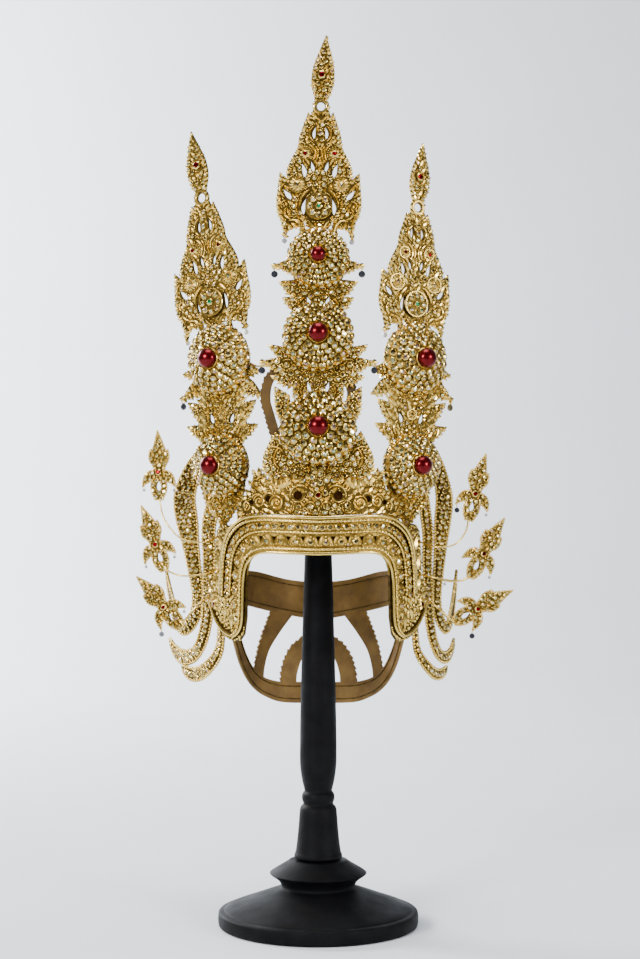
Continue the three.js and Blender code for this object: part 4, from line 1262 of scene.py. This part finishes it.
# Crest rows are laid out on a crest of the plain size, with up from the top boss's edge.
CREST_SCROLLS = [
    [0, 25.5, 16.6, -62, 62, 2.7], [13, 69.5, 8.8, 105, 262, 2.0], [13, 69.5, 11.4, 140, 250, 1.6],
    [19.5, 57, 11, 118, 236, 2.2], [27.6, 38.6, 6.4, -100, 70, 2.0], [1.6, 86.7, 7.8, -62, 68, 1.9],
    [0.2, 86.7, 5.4, -70, 70, 1.4], [9, 95, 5, 20, 150, 1.6], [24, 20, 6, -95, 50, 1.9],
    [5.4, 101, 4, 20, 170, 1.5],
    [26, 55, 5, -60, 100, 1.7], [7, 60, 4.5, 100, 230, 1.6], [20, 78, 4.5, -40, 120, 1.6],
    [29, 26, 4, -60, 110, 1.6],
]
# Smooth ribs up the stems: [across, up] from the boss to the leaves.
CREST_RIBS = [
    [[3.2, -13], [3, 0], [4.8, 8], [9, 13.5]],
    [[13.2, -13], [13.4, 2], [15.5, 10], [20, 14], [26, 13]],
]
CREST_FRONT = -PLATE - GAP
MEDALLION_UP = 25
MEDALLION_RADIUS = 11.8
EYE_UP = 110
Crest = namedtuple("Crest", "face wide tall")


def crest_face(name, face):
    """The crest's own front and scale, from its raised medallion and the eye below its finial."""
    points, faces = node_arrays(name + "_crest")
    local = face.flat(points)
    raised = local[local[:, 2] > local[:, 2].max() - 0.1 * MM][:, :2]
    medallion = (raised.min(0) + raised.max(0)) / 2
    holes = loops(outline(name + "_crest", face))[1:]
    eye = max(((line.min(0) + line.max(0)) / 2 for line in holes), key=lambda centre: centre[1])
    up = eye - medallion
    tall = np.linalg.norm(up) / (EYE_UP - MEDALLION_UP) / MM
    wide = np.ptp(raised[:, 0]) / 2 / MEDALLION_RADIUS / MM
    up = up / np.linalg.norm(up)
    columns = face.axes(0, 0)
    up_way = columns @ np.array([up[0], up[1], 0])
    across_way = columns @ np.array([up[1], -up[0], 0])
    base = medallion - up * MEDALLION_UP * tall * MM
    origin = face.lay(base[0], base[1], CREST_FRONT)
    return Crest(plane(origin, np.stack([across_way, up_way, columns[:, 2]], -1)), wide, tall)


HUB_PROFILE = [(1, -1), (11.6, -1), (11.6, 2.2), (10.8, 2.8), (5, 3), (1, 3)]
# Rings of stones on the hub: [count, ring, radius, level].
HUB_RINGS = [[8, 7.6, 2.9, 2.5]]
SIDE_SETTING = (19.5, 43.3, 7.6)
RED_SETTING = (13, 69.5, 5.6)
BUD_UP = 87
FINIAL_RED_UP = 136.6
FINIAL_BARE = 12
CREST_BOLD = 1.25


def dress_crest(name, spire):
    face, wide, tall = crest_face(name, spire)
    group = name + "_crest"
    edges = outline(group, face)
    lines = [softened(line) for line in loops(edges)]
    fine_plate(group, face, lines, 0)
    edge_teeth(group, face, lines[0], 4.2 * MM, 4.3 * MM)
    rows = [
        [x * wide, y * tall, size * wide, start, end, width * CREST_BOLD]
        for x, y, size, start, end, width in CREST_SCROLLS
    ]
    taken = scrolls(group, face, rows, edges)
    for row in CREST_RIBS:
        for side in (-1, 1):
            line = curve_through(np.array(row) * (side * wide * MM, tall * MM))
            ridge(group, face, line, 3.4 * MM, 2 * MM)
            taken += discs_along(line, 1.8 * MM)
    hub = np.array([0, MEDALLION_UP * tall * MM])
    points, faces = turned(HUB_PROFILE, 40)
    points = points * (wide * MM, tall * MM, MM)
    placed = face.lay(points[:, 0], points[:, 1] + hub[1], points[:, 2])
    # The hub's base is the dark ground, painted shade round its stones.
    join_piece(group + "_hub", placed, faces, gold_ground_painted_shade, "gilded_hide")
    hoop(group, face, *hub, 11.2 * wide * MM, 0.8 * MM, 2.6 * MM)
    for count, ring, size, level in HUB_RINGS:
        for step in range(count):
            turn = 2 * math.pi * step / count
            spot = hub + np.array([math.cos(turn) * wide, math.sin(turn) * tall]) * ring * MM
            set_stone(group, face.lay(*spot, level * MM), face.axes(0, 0), size * wide * MM)
    set_stone(group, face.lay(*hub, 3.2 * MM), face.axes(0, 0), 3.2 * wide * MM, GREEN)
    taken.append((*hub, 12.6 * wide * MM))
    for side in (-1, 1):
        x, y, size = SIDE_SETTING
        taken += rosette(group, face, side * x * wide, y * tall, size * wide, 14, None, 0)
        x, y, size = RED_SETTING
        taken += rosette(group, face, side * x * wide, y * tall, size * wide, 9, RED, 0)
    bud = np.array([0, BUD_UP * tall * MM])
    set_stone(group, face.lay(*bud, 0.6 * MM), face.axes(0, 0), 3 * wide * MM)
    taken.append((*bud, 3.2 * wide * MM))
    finial = np.array([0, FINIAL_RED_UP * tall * MM])
    set_stone(group, face.lay(*finial, 0.6 * MM), face.axes(0, 0), 4 * wide * MM, RED)
    taken.append((*finial, 4.2 * wide * MM))
    eye = np.array([0, EYE_UP * tall * MM])
    hoop(group, face, *eye, 5.6 * wide * MM, 1.2 * MM, 0)
    taken.append((*eye, 6.8 * wide * MM))
    tip = edges[..., 1].max()
    taken.append((0, tip, FINIAL_BARE * tall * MM))
    leafy_ground(group, face, Field(edges, taken), CREST_STONES_APART)
    finish_relief(group)


CREST_STONES_APART = 1.14
PLATE_STONES_APART = 1.35


def dress_spire(name, bosses, scroll_rows, rosettes, studs, leaves):
    face = spire_face(name, bosses["low"][0])
    group = name + "_plate"
    edges = outline(group, face)
    lines = [softened(line) for line in loops(edges)]
    fine_plate(group, face, lines, 0)
    edge_teeth(group, face, lines[0], 4.4 * MM, 4.4 * MM)
    taken = scrolls(group, face, scroll_rows, edges)
    for row in rosettes:
        taken += rosette(group, face, *row, 0)
    for row in leaves:
        taken += flame(group, face, *row)
    for up, radius, height, gem in bosses.values():
        taken.append((0, up * MM, (radius + 0.2) * MM))
    spots = [(side * x * MM, y * MM, radius * MM) for x, y, radius in studs for side in (-1, 1)]
    set_stones(group, face, spots, 0.4 * MM)
    taken += spots
    if leaves:
        leafy_ground(group, face, Field(edges, taken), PLATE_STONES_APART)
    else:
        fill_ground(group, face, Field(edges, taken))
    finish_relief(group)
    for level, row in bosses.items():
        dress_boss(name, level, face, row)
    dress_crest(name, face)
    return face


# Studs at the foot of the middle plate are [across, up, radius].
CENTRE_STUDS = [[18.6, 17.4, 3.3], [13, 14.2, 2.7], [24, 21, 2.6]]
# Leaves that fill out the side plates between their bosses: [across, up, lean, length, width, rise].
SIDE_FILLING = [
    [17, 64, 20, 10, 5, 1.8], [19.6, 67, 50, 8.5, 4.4, 1.6], [17.6, 70, 12, 10, 5, 1.8],
    [20.4, 73, 42, 8.5, 4.4, 1.6],
    [18.6, 77, 16, 8, 4.4, 1.6], [17, 45, 12, 10, 5, 1.8], [19.4, 48, 48, 8.5, 4.4, 1.6],
    [17.4, 52, 16, 9, 4.6, 1.8],
    [20, 55, 40, 7, 4, 1.6], [20, 31, 8, 9, 4.6, 1.8], [21.4, 34.6, 38, 8, 4.2, 1.6],
]
SIDE_ROSETTE = [0, 57.5, 5, 9, None]
spires = {"centre": dress_spire("centre", CENTRE_BOSSES, CENTRE_SCROLLS, [], CENTRE_STUDS, [])}
for name in ("left", "right"):
    spires[name] = dress_spire(name, SIDE_BOSSES, SIDE_SCROLLS, [SIDE_ROSETTE], [], SIDE_FILLING)

# Drops: small faceted glass drops, each on a wire jump ring through an eyelet at a leaf's tip.
# Most are smoke-dark, and those at the crests' tails are small and clear.
drop_glass = surface("drop_glass", (0.7, 0.7, 0.7), (1, 1, 1), 300, (0.05, 0.12), 0.55, 0.0)
tint_material(drop_glass)
DROP_RADIUS = 3.1
JUMP_RING = 2.4
RING_WIRE = 0.45
SMOKE = (0.05, 0.055, 0.07)
OLIVE = (0.16, 0.13, 0.06)
CLEAR = (0.75, 0.78, 0.8)


RING_STEPS = 20
DROP_SIDES = 12
DROP_PROFILE = [(0.1, -0.48), (1.0, -0.06), (1.0, 0.06), (0.62, 0.48)]
# A jump ring stands in the plane of up and out.
ring_points, ring_faces = wire_ring(JUMP_RING, RING_WIRE, RING_STEPS)
drop_rings = Copies((ring_points[:, [OUT, ACROSS, UP]], ring_faces))
drop_beads = Copies(turned(DROP_PROFILE, DROP_SIDES))
dressed_drops = []


def hang_drop(face, x, y, out, size, tint):
    """A ring and a drop below an eyelet's place on a face."""
    axes = face.axes(x, y)
    ring_up = y - JUMP_RING * size * MM
    drop_rings.put(face.lay(x, ring_up, out), axes, size * MM)
    bead_up = ring_up - (JUMP_RING + DROP_RADIUS - 0.3) * size * MM
    drop_beads.put(face.lay(x, bead_up, out), axes, DROP_RADIUS * size * MM, tint)


def redo_drop(node, face, tint):
    local = face.flat(node_arrays(node)[0])
    low, high = local.min(0), local.max(0)
    hang_drop(face, (low[0] + high[0]) / 2, high[1] - RING_WIRE * MM, (low[2] + high[2]) / 2, 1, tint)
    dressed_drops.append(node)


CENTRE_DROPS = 4
for number in range(1, CENTRE_DROPS + 1):
    redo_drop(f"centre_drop_{number}", spires["centre"], SMOKE)
redo_drop("left_drop", spires["left"], SMOKE)
redo_drop("right_drop", spires["right"], OLIVE)
TAIL_EYELET = (29.43, 1.53)
TAIL_DROP = 0.75
for name, spire in spires.items():
    face, wide, tall = crest_face(name, spire)
    tail_across, tail_up = np.array(TAIL_EYELET) * (wide, tall) * MM
    for side in (-1, 1):
        hang_drop(face, side * tail_across, tail_up, -PLATE / 2, TAIL_DROP, CLEAR)

# Back panel: a plain hide frame round the nape, painted brown gold, with a pair of toothed struts
# and a toothed leaf in the middle. Tooled lines follow its edges. An arched brace of the same hide
# stiffens the middle spire from behind.


def through(rows, per_span):
    """A smooth line through rows of any count of columns."""
    rows = np.array(rows, float)
    padded = np.concatenate([2 * rows[:1] - rows[1:2], rows, 2 * rows[-1:] - rows[-2:-1]])
    points = []
    for span in range(len(rows) - 1):
        before, first, second, after = padded[span:span + 4]
        for step in range(per_span):
            t = step / per_span
            bend = (2 * before - 5 * first + 4 * second - after) * t * t
            twist = (3 * first - before - 3 * second + after) * t ** 3
            points.append(0.5 * (2 * first + (second - before) * t + bend + twist))
    points.append(rows[-1])
    return np.array(points)


def ways_across(centres, outs):
    """The unit way across a strip at each of its centres."""
    across = np.cross(outs, np.gradient(centres, axis=0))
    return across / np.linalg.norm(across, axis=1)[:, None]


def run_along(line):
    """How far along a line in space each of its points is."""
    return np.r_[0, np.cumsum(np.linalg.norm(np.diff(line, axis=0), axis=1))]


def at_run(spot, run, values):
    """The values of rows along a run, at one spot on it."""
    return np.array([np.interp(spot, run, column) for column in values.T])


TOOTH_PITCH = 4.6 * MM


def strip(centres, outs, widths, thickness, low_tooth=0, high_tooth=0):
    """A flat strip with rounded edges along centres; teeth stand out from either edge."""
    across = ways_across(centres, outs)
    saw = run_along(centres) / TOOTH_PITCH % 1
    low = widths / 2 + low_tooth * saw
    high = widths / 2 + high_tooth * saw
    half = thickness / 2
    rings = []
    for index in range(len(centres)):
        ring = []
        for reach, level in ((-low[index], -0.6), (-low[index], 0.6), (-low[index] + 0.3 * half, 1),
                             (high[index] - 0.3 * half, 1), (high[index], 0.6), (high[index], -0.6),
                             (high[index] - 0.3 * half, -1), (-low[index] + 0.3 * half, -1)):
            ring.append(centres[index] + across[index] * reach + outs[index] * level * half)
        rings.append(np.array(ring))
    return swept(rings)


BACK_BREADTH = 90.4
BACK_DEPTH = 118.7
BACK_CENTRE_Y = -25
# Rows are [degrees from the back, height, width].
BACK_TOP = [[0, 286, 35], [20, 290, 33], [43, 299, 33], [58, 302, 26], [75, 303, 16], [95, 303, 9]]
BACK_RIM = [
    [0, 199, 20], [20, 200, 19.5], [30, 204, 17], [38, 210.5, 15], [45, 221, 13.5], [51, 236, 13],
    [56.5, 255, 12.5],
    [63, 276, 12], [72, 292, 10], [86, 302, 8],
]
BACK_STRUT = [[20.6, 280, 22], [28.6, 260, 17], [34.4, 242.6, 13], [37.5, 224, 11.5], [38, 208, 11]]
BACK_LEAF = [[0, 248, 15], [12, 239, 15], [17.5, 220, 16], [18, 200, 15]]
BACK_TOOTH = 2 * MM


def mirrored(half):
    return [[-row[0], *row[1:]] for row in half[:0:-1]] + half


def back_line(rows, per_span):
    rows = through(rows, per_span)
    turn = np.radians(rows[:, 0])
    back = BACK_CENTRE_Y + BACK_DEPTH * np.cos(turn)
    centres = np.stack([BACK_BREADTH * np.sin(turn), back, rows[:, 1]], -1) * MM
    outs = np.stack([np.sin(turn) / BACK_BREADTH, np.cos(turn) / BACK_DEPTH, 0 * turn], -1)
    outs /= np.linalg.norm(outs, axis=1)[:, None]
    return centres, outs, rows[:, 2] * MM


def raw_object(name, points, faces):
    made = bpy.data.objects.new(name, outward_mesh(name, points, faces))
    bpy.context.scene.collection.objects.link(made)
    return made


def fused(name, forms):
    """One closed form from several that overlap."""
    whole = raw_object(name, *forms[0])
    others = [raw_object(f"{name}_{index}", *form) for index, form in enumerate(forms[1:])]
    for other in others:
        union = whole.modifiers.new("union", "BOOLEAN")
        union.operation = "UNION"
        union.object = other
    bpy.context.view_layer.update()
    mesh = bpy.data.meshes.new_from_object(whole.evaluated_get(bpy.context.evaluated_depsgraph_get()))
    points = [tuple(vertex.co) for vertex in mesh.vertices]
    faces = [tuple(polygon.vertices) for polygon in mesh.polygons]
    for made in [whole, *others]:
        bpy.data.objects.remove(made)
    return points, faces


back_forms = [
    strip(*back_line(mirrored(BACK_TOP), 10), PLATE),
    strip(*back_line(mirrored(BACK_RIM), 6), PLATE),
    strip(*back_line(mirrored(BACK_LEAF), 26), PLATE, BACK_TOOTH, 0),
]
for side in (-1, 1):
    rows = [[side * row[0], *row[1:]] for row in BACK_STRUT]
    lows, highs = (0, BACK_TOOTH) if side < 0 else (BACK_TOOTH, 0)
    back_forms.append(strip(*back_line(rows, 24), PLATE, lows, highs))
back_frame = fused("back_panel_frame", back_forms)
join_piece("back_panel_frame", *back_frame, hide_back, "hide_back", ("back_panel",))
TOOLING_WIDTH = 1.0 * MM
TOOLING_THICK = 1.3 * MM
# Tooled lines are the rows, the points to a span, and the share of the width from the middle.
for rows, per_span, inset in ((BACK_TOP, 10, 0.36), (BACK_RIM, 6, 0.3)):
    centres, outs, widths = back_line(mirrored(rows), per_span)
    across = ways_across(centres, outs)
    for share in (-inset, inset):
        line = centres + across * (widths * share)[:, None] - outs * PLATE / 2
        add_relief("back_panel", *strip(line, outs, np.full(len(line), TOOLING_WIDTH), TOOLING_THICK))
# The tooled lines take the dark ground, painted shade as in cut grooves.
join_piece("back_panel_tooling", *reliefs["back_panel"], gold_ground_painted_shade, "hide_back", (), 40)
# Rows are [across, up] in the middle spire's plane.
BRACE_LINE = [
    [-30, 3], [-34, 30], [-41, 55], [-45, 71], [-42, 88], [-30, 99], [-8, 105], [14, 99], [27, 84],
    [29, 62],
    [25, 36], [20, 3],
]
BRACE_WIDTH = 8 * MM
brace = through(BRACE_LINE, 16) * MM
brace_out = spires["centre"].axes(0, 0)[:, 2]
centres = spires["centre"].lay(brace[:, 0], brace[:, 1], -1.5 * PLATE - GAP)
outs = np.tile(brace_out, (len(brace), 1))
brace_form = strip(centres, outs, np.full(len(brace), BRACE_WIDTH), PLATE, 0, 1.6 * MM)
# The brace's paint is a darker copy of the panel's brown gold, painted shade against the light it catches
# facing the front.
brace_painted_shade = surface("brace_painted_shade", (0.055, 0.028, 0.005), (0.12, 0.064, 0.012), 70, (0.4, 0.55), 0.4, 0.3)
join_piece("back_brace_arch", *brace_form, brace_painted_shade, "hide_back", ("back_brace",), 35)

# Side ribbons: three narrow hide strips hang behind each side spire and lappet and curl up at the
# ends. Rows of stones fill them between beaded edges, and the rearmost ends in a horn with no stones.
BAND_CENTRE = np.array([0, BAND_CENTRE_Y, 0])
# Rows are [degrees from the front, height, distance from the axis, width, turn].
RIBBONS = {
    "back": [
        [64.2, 430, 104.3, 11, 36], [72.6, 408, 116.2, 17, 42], [73, 385, 123.5, 20.5, 46],
        [73, 362, 121, 20, 47],
        [75, 342, 117, 16, 46], [78, 320, 112.5, 13.5, 44], [80, 298, 109, 12, 42],
        [80, 284, 110, 11.5, 41],
        [82, 273, 114, 11.5, 39], [85.5, 267, 120, 11.5, 36], [89.5, 271, 126, 11, 32],
        [93, 283, 131, 9.5, 30],
        [96, 298, 135.5, 6.5, 30], [99, 318, 141, 1.6, 30],
    ],
    "middle": [
        [61.4, 388, 101.2, 11, 33], [66, 370, 103.5, 12.5, 39], [69.3, 352, 103.6, 12.2, 42],
        [70.2, 329, 102.4, 11.2, 41], [71.4, 303, 102.6, 10.8, 40], [72.3, 276, 103.5, 10.5, 38],
        [75, 256, 107, 10.5, 36], [81, 244, 112, 11, 35], [88, 240, 120, 12, 33], [93, 242.5, 127, 11, 30],
        [97, 248, 133, 7.5, 30], [100, 255, 138, 1.6, 30],
    ],
    "front": [
        [58, 346, 100.6, 9, 0], [58, 320, 100.6, 9, 0], [57.5, 294, 100.6, 9, 0],
        [57.5, 264, 100.6, 9.5, 0],
        [60, 248, 101, 10, 6], [66, 236, 104.5, 10.5, 16], [73, 228.5, 109, 11, 25],
        [79, 226.5, 114, 10.5, 30],
        [83, 228.5, 118.5, 8, 30], [86, 232.5, 122.5, 2, 30],
    ],
}
RIBBON_ROOT = 104
# Rows are the side, the flare, the breadth and how far the rear ribbons' tops stand out further.
RIBBON_SIDES = {"left": (-1, 1, 1, 0), "right": (1, 0.65, 0.74, 3.9)}
HORN_FROM = 0.78
BEAD = 1.7 * MM
BEAD_PITCH = 2.9 * MM
BEAD_TILT = 15
BEADS_FROM = 2 * MM
STONES_FROM = 3 * MM
STONES_TO = 0.97
RIBBON_MARGIN = 1.4 * MM
RIBBON_COLUMN = 4.6 * MM
RIBBON_STONE = 2.7 * MM
LEAST_STONE = 0.9 * MM
WIDE_RIBBON = 8 * MM
# Steps from row to row, in radii of their stones.
WIDE_ROW_STEP = 1.78
ROW_STEP = 2.05
LEAST_ROW_STEP = 2 * MM
for name, (mirror, flare, breadth, lift) in RIBBON_SIDES.items():
    for place, table in RIBBONS.items():
        rows = np.array(table, float)
        rows[:, 2] = np.minimum(rows[:, 2], RIBBON_ROOT + np.maximum(rows[:, 2] - RIBBON_ROOT, 0) * flare)
        rows[0, 2] += 0 if place == "front" else lift
        rows[:, 3] *= breadth
        rows = through(rows, 10)
        turn = np.radians(rows[:, 0]) * mirror
        look = np.radians(rows[:, 0] - rows[:, 4]) * mirror
        reach = rows[:, 2] * MM
        centres = np.stack([reach * np.sin(turn), -reach * np.cos(turn), rows[:, 1] * MM], -1) + BAND_CENTRE
        outs = np.stack([np.sin(look), -np.cos(look), 0 * look], -1)
        widths = rows[:, 3] * MM
        group = f"{name}_ribbon_{place}"
        ribbon = strip(centres, outs, widths, PLATE)
        # The strip is the dark ground, painted shade between its beads and stones.
        join_piece(group + "_strip", *ribbon, gold_ground_painted_shade, "gilded_hide", (group,))
        across = ways_across(centres, outs)
        beads = grains.setdefault(group, Copies(grain_template()))
        for edge in (-1, 1):
            line = centres + across * (edge * widths / 2)[:, None] + outs * PLATE / 4
            along = run_along(line)
            for spot in np.arange(BEADS_FROM, along[-1], BEAD_PITCH):
                near = int(np.interp(spot, along, np.arange(len(line))))
                axes = np.stack([across[near], np.cross(outs[near], across[near]), outs[near]], -1)
                beads.put(at_run(spot, along, line), tilted(axes, BEAD_TILT), min(BEAD, 0.4 * widths[near]))
        run = run_along(centres)
        far = run[-1] * (HORN_FROM if place == "back" else STONES_TO)
        spot = STONES_FROM
        row = 0
        while spot < far:
            here, out, side = (at_run(spot, run, values) for values in (centres, outs, across))
            width = np.interp(spot, run, widths) - RIBBON_MARGIN
            count = max(int(width / RIBBON_COLUMN), 1)
            radius = min(RIBBON_STONE, width / count / 2)
            axes = np.stack([side, np.cross(out, side), out], -1)
            seat = here + out * PLATE / 2
            if count > 1 and row % 2:
                for edge in (-1, 1):
                    beads.put(seat + side * edge * (width / 2 - 0.5 * radius), axes, 0.5 * radius)
                count -= 1
            for column in range(count):
                shift = (column - (count - 1) / 2) * 2 * radius
                if radius > LEAST_STONE:
                    set_stone(group, seat + side * shift, axes, radius)
            step = WIDE_ROW_STEP if width > WIDE_RIBBON else ROW_STEP
            spot += max(step * radius, LEAST_ROW_STEP)
            row += 1
        finish_relief(group)

# Sprigs: three small flame sprays on each side, each soldered to a springy gilt wire that comes out
# of the band. Stones and a red stone are set on them, and small drops hang from their lobes.
# Rows are the lean, the yaw and the points that the wire goes through.
SPRIGS = {
    "left_sprig_high": (
        0, -12, [[-88.9, -47.7, 350], [-100, -62, 346], [-120, -62, 350], [-134, -56, 366], [-139, -52, 384]],
    ),
    "left_sprig_mid": (19, -12, [[-88, -49.3, 322], [-101, -60, 318], [-119, -60, 317], [-134.5, -53, 322]]),
    "left_sprig_low": (41, -12, [[-95.2, -36.6, 298], [-105, -46, 291], [-115, -45, 280], [-121, -42, 271]]),
    "right_sprig_high": (
        14, 12, [[88.9, -47.7, 346], [102, -62, 342], [118, -62, 344], [128, -56, 354], [131.5, -52, 366]],
    ),
    "right_sprig_mid": (30, 12, [[88, -49.3, 318], [102, -60, 315], [120, -58, 312], [133, -53, 316]]),
    "right_sprig_low": (62, 12, [[95.2, -36.6, 296], [105, -46, 288], [114, -45, 280], [120, -42, 276]]),
}
WIRE_RADIUS = 0.8 * MM
SPRAY_EYE_UP = 23
RIM_GRAIN = 1.15 * MM
RIM_PITCH = 2.1 * MM
SPRIG_RED = 3.2 * MM
SPRIG_RED_KEPT = 3.4 * MM
SPRIG_DROP = (0.45, CLEAR)
UPRIGHT = np.array([[1, 0, 0], [0, 0, -1], [0, 1, 0]])
GREY = (0.3, 0.33, 0.38)
# The larger drops are (size, tint), by sprig and side.
SPRIG_DROPS = {
    ("right_sprig_high", -1): (0.75, SMOKE), ("right_sprig_low", 1): (0.8, SMOKE),
    ("left_sprig_low", -1): (0.75, GREY),
}


def tube(line, radius, sides=8):
    """A round wire along a line of points."""
    ahead = np.gradient(line, axis=0)
    ahead /= np.linalg.norm(ahead, axis=1)[:, None]
    side = np.cross(ahead, (0.1, 0.9, 0.2))
    side /= np.linalg.norm(side, axis=1)[:, None]
    other = np.cross(ahead, side)
    angle = 2 * math.pi * np.arange(sides) / sides
    rings = [
        line[index] + radius * (np.cos(angle)[:, None] * side[index] + np.sin(angle)[:, None] * other[index])
        for index in range(len(line))
    ]
    return swept(rings)


def sprig_face(side, lean, yaw, end):
    """The front of a sprig at its wire's end, turned about the upright and leaning outward."""
    turned_out = turn_about(2, math.radians(yaw)) @ turn_about(1, math.radians(side * lean))
    return plane(np.array(end) * MM, turned_out @ UPRIGHT)


def along_sprig(x, y):
    """Leaves point away from the red stone, up above it and down below it."""
    return math.pi / 2 if y > SPRAY_EYE_UP * MM else -math.pi / 2


for name, (lean, yaw, route) in SPRIGS.items():
    side = 1 if route[0][0] > 0 else -1
    face = sprig_face(side, lean, yaw, route[-1])
    edges = outline(name, face, PLATE / 2)
    lines = [softened(line) for line in loops(edges)]
    fine_plate(name, face, lines, PLATE / 2)
    rim = resample(np.concatenate([lines[0], lines[0][:1]]), RIM_PITCH)
    set_grains(name, face, [(x, y, RIM_GRAIN) for x, y in rim[:-1]], PLATE / 4)
    add_relief(name, *tube(through(np.array(route) * MM, 10), WIRE_RADIUS))
    eye = np.array([0, SPRAY_EYE_UP * MM])
    set_stone(name, face.lay(*eye, PLATE / 2), face.axes(0, 0), SPRIG_RED, RED)
    field = Field(edges, [(*eye, SPRIG_RED_KEPT)])
    set_stones(name, face, field.fill(1.9 * MM, 0.9, 1.15), PLATE / 2)
    fill_leaves(name, face, field, (1.9, 1.4), along_sprig, PLATE / 2)
    set_grains(name, face, field.fill(0.8 * MM, *GRAIN_SETTING), PLATE / 2)
    finish_relief(name)
    for side in (-1, 1):
        lobe = max(lines[0], key=lambda spot: side * spot[0])
        upright = plane(face.lay(0.93 * lobe[0], lobe[1], 0), UPRIGHT)
        hang_drop(upright, 0, 0, 0, *SPRIG_DROPS.get((name, side), SPRIG_DROP))
drop_rings.finish("drop_rings", gold_relief, "gilt_wire", 60)
drop_beads.finish("drop_beads", drop_glass, "crystal", 5, tuple(dressed_drops))

# Tie wires: short gilt stays from behind each side spire to behind the middle spire's flames.
TIE_CLEARANCE = 0.78 * MM
TIE_BACK = -PLATE - TIE_CLEARANCE - WIRE_RADIUS
TIE_SAG = 3 * MM
TIE_FROM = (23, 104)
TIE_TO = (42, 101)
for name, side in (("left", -1), ("right", 1)):
    start = spires[name].lay(-side * TIE_FROM[0] * MM, TIE_FROM[1] * MM, TIE_BACK)
    end = spires["centre"].lay(side * TIE_TO[0] * MM, TIE_TO[1] * MM, TIE_BACK)
    line = through([start, (start + end) / 2 - np.array([0, 0, TIE_SAG]), end], 10)
    stay = tube(line, WIRE_RADIUS)
    join_piece(name + "_tie_stay", *stay, gold_relief, "gilt_wire", (name + "_tie_wire",), 60)

# Floor, light and camera: a pale paper sweep, three soft boxes on the object and one on the left of
# the sweep, and the photograph's level view.
CAMERA_PLACE = (0.0016, -1.78, 0.4006)
CAMERA_LENS = 74.25
camera = bpy.data.objects.new("camera", bpy.data.cameras.new("camera"))
camera.data.lens = CAMERA_LENS
camera.data.sensor_width = 36
camera.data.clip_end = 50
camera.location = CAMERA_PLACE
camera.rotation_euler = (math.pi / 2, 0, 0)
bpy.context.scene.collection.objects.link(camera)
bpy.context.scene.camera = camera
sweep_mesh = bpy.data.meshes.new("sweep")
SWEEP_HALF = 4
# Rows are [back, up] in metres.
SWEEP_LINE = [[-3, 0], [1.9, 0], [2.2, 0.04], [2.45, 0.16], [2.6, 0.4], [2.66, 0.8], [2.7, 4]]
points = [(side * SWEEP_HALF, y, z) for y, z in SWEEP_LINE for side in (-1, 1)]
faces = [(2 * row, 2 * row + 1, 2 * row + 3, 2 * row + 2) for row in range(len(SWEEP_LINE) - 1)]
sweep_mesh.from_pydata(points, [], faces)
sweep_mesh.polygons.foreach_set("use_smooth", [True] * len(sweep_mesh.polygons))
paper = surface("paper", (0.75, 0.785, 0.84), (0.78, 0.815, 0.87), 3, (0.8, 0.9), 0, 0.0)
sweep_mesh.materials.append(paper)
sweep = bpy.data.objects.new("sweep", sweep_mesh)
bpy.context.scene.collection.objects.link(sweep)
world = bpy.data.worlds.new("studio")
world.use_nodes = True
world.node_tree.nodes["Background"].inputs["Color"].default_value = (0.92, 0.95, 1, 1)
world.node_tree.nodes["Background"].inputs["Strength"].default_value = 0.2
bpy.context.scene.world = world
# Rows are the place, the point aimed at, the size of the box and its power.
LIGHTS = {
    "key": ((-1.4, -1.8, 1.1), (0, 0, 0.45), 0.7, 58),
    "fill": ((1.7, -1.4, 0.8), (0, 0, 0.45), 0.6, 32),
    "top": ((0, -0.3, 2.3), (0, 0.1, 0.3), 1.2, 42),
    "backdrop_left": ((-2.1, 1.5, 1.5), (-1.1, 2.4, 0.3), 1.2, 215),
}
for name, (spot, aim, size, power) in LIGHTS.items():
    lamp = bpy.data.lights.new(name, "AREA")
    lamp.energy = power
    lamp.size = size
    light = bpy.data.objects.new(name, lamp)
    light.location = spot
    light.visible_camera = False
    light.rotation_euler = (Vector(aim) - Vector(spot)).to_track_quat("-Z", "Y").to_euler()
    bpy.context.scene.collection.objects.link(light)
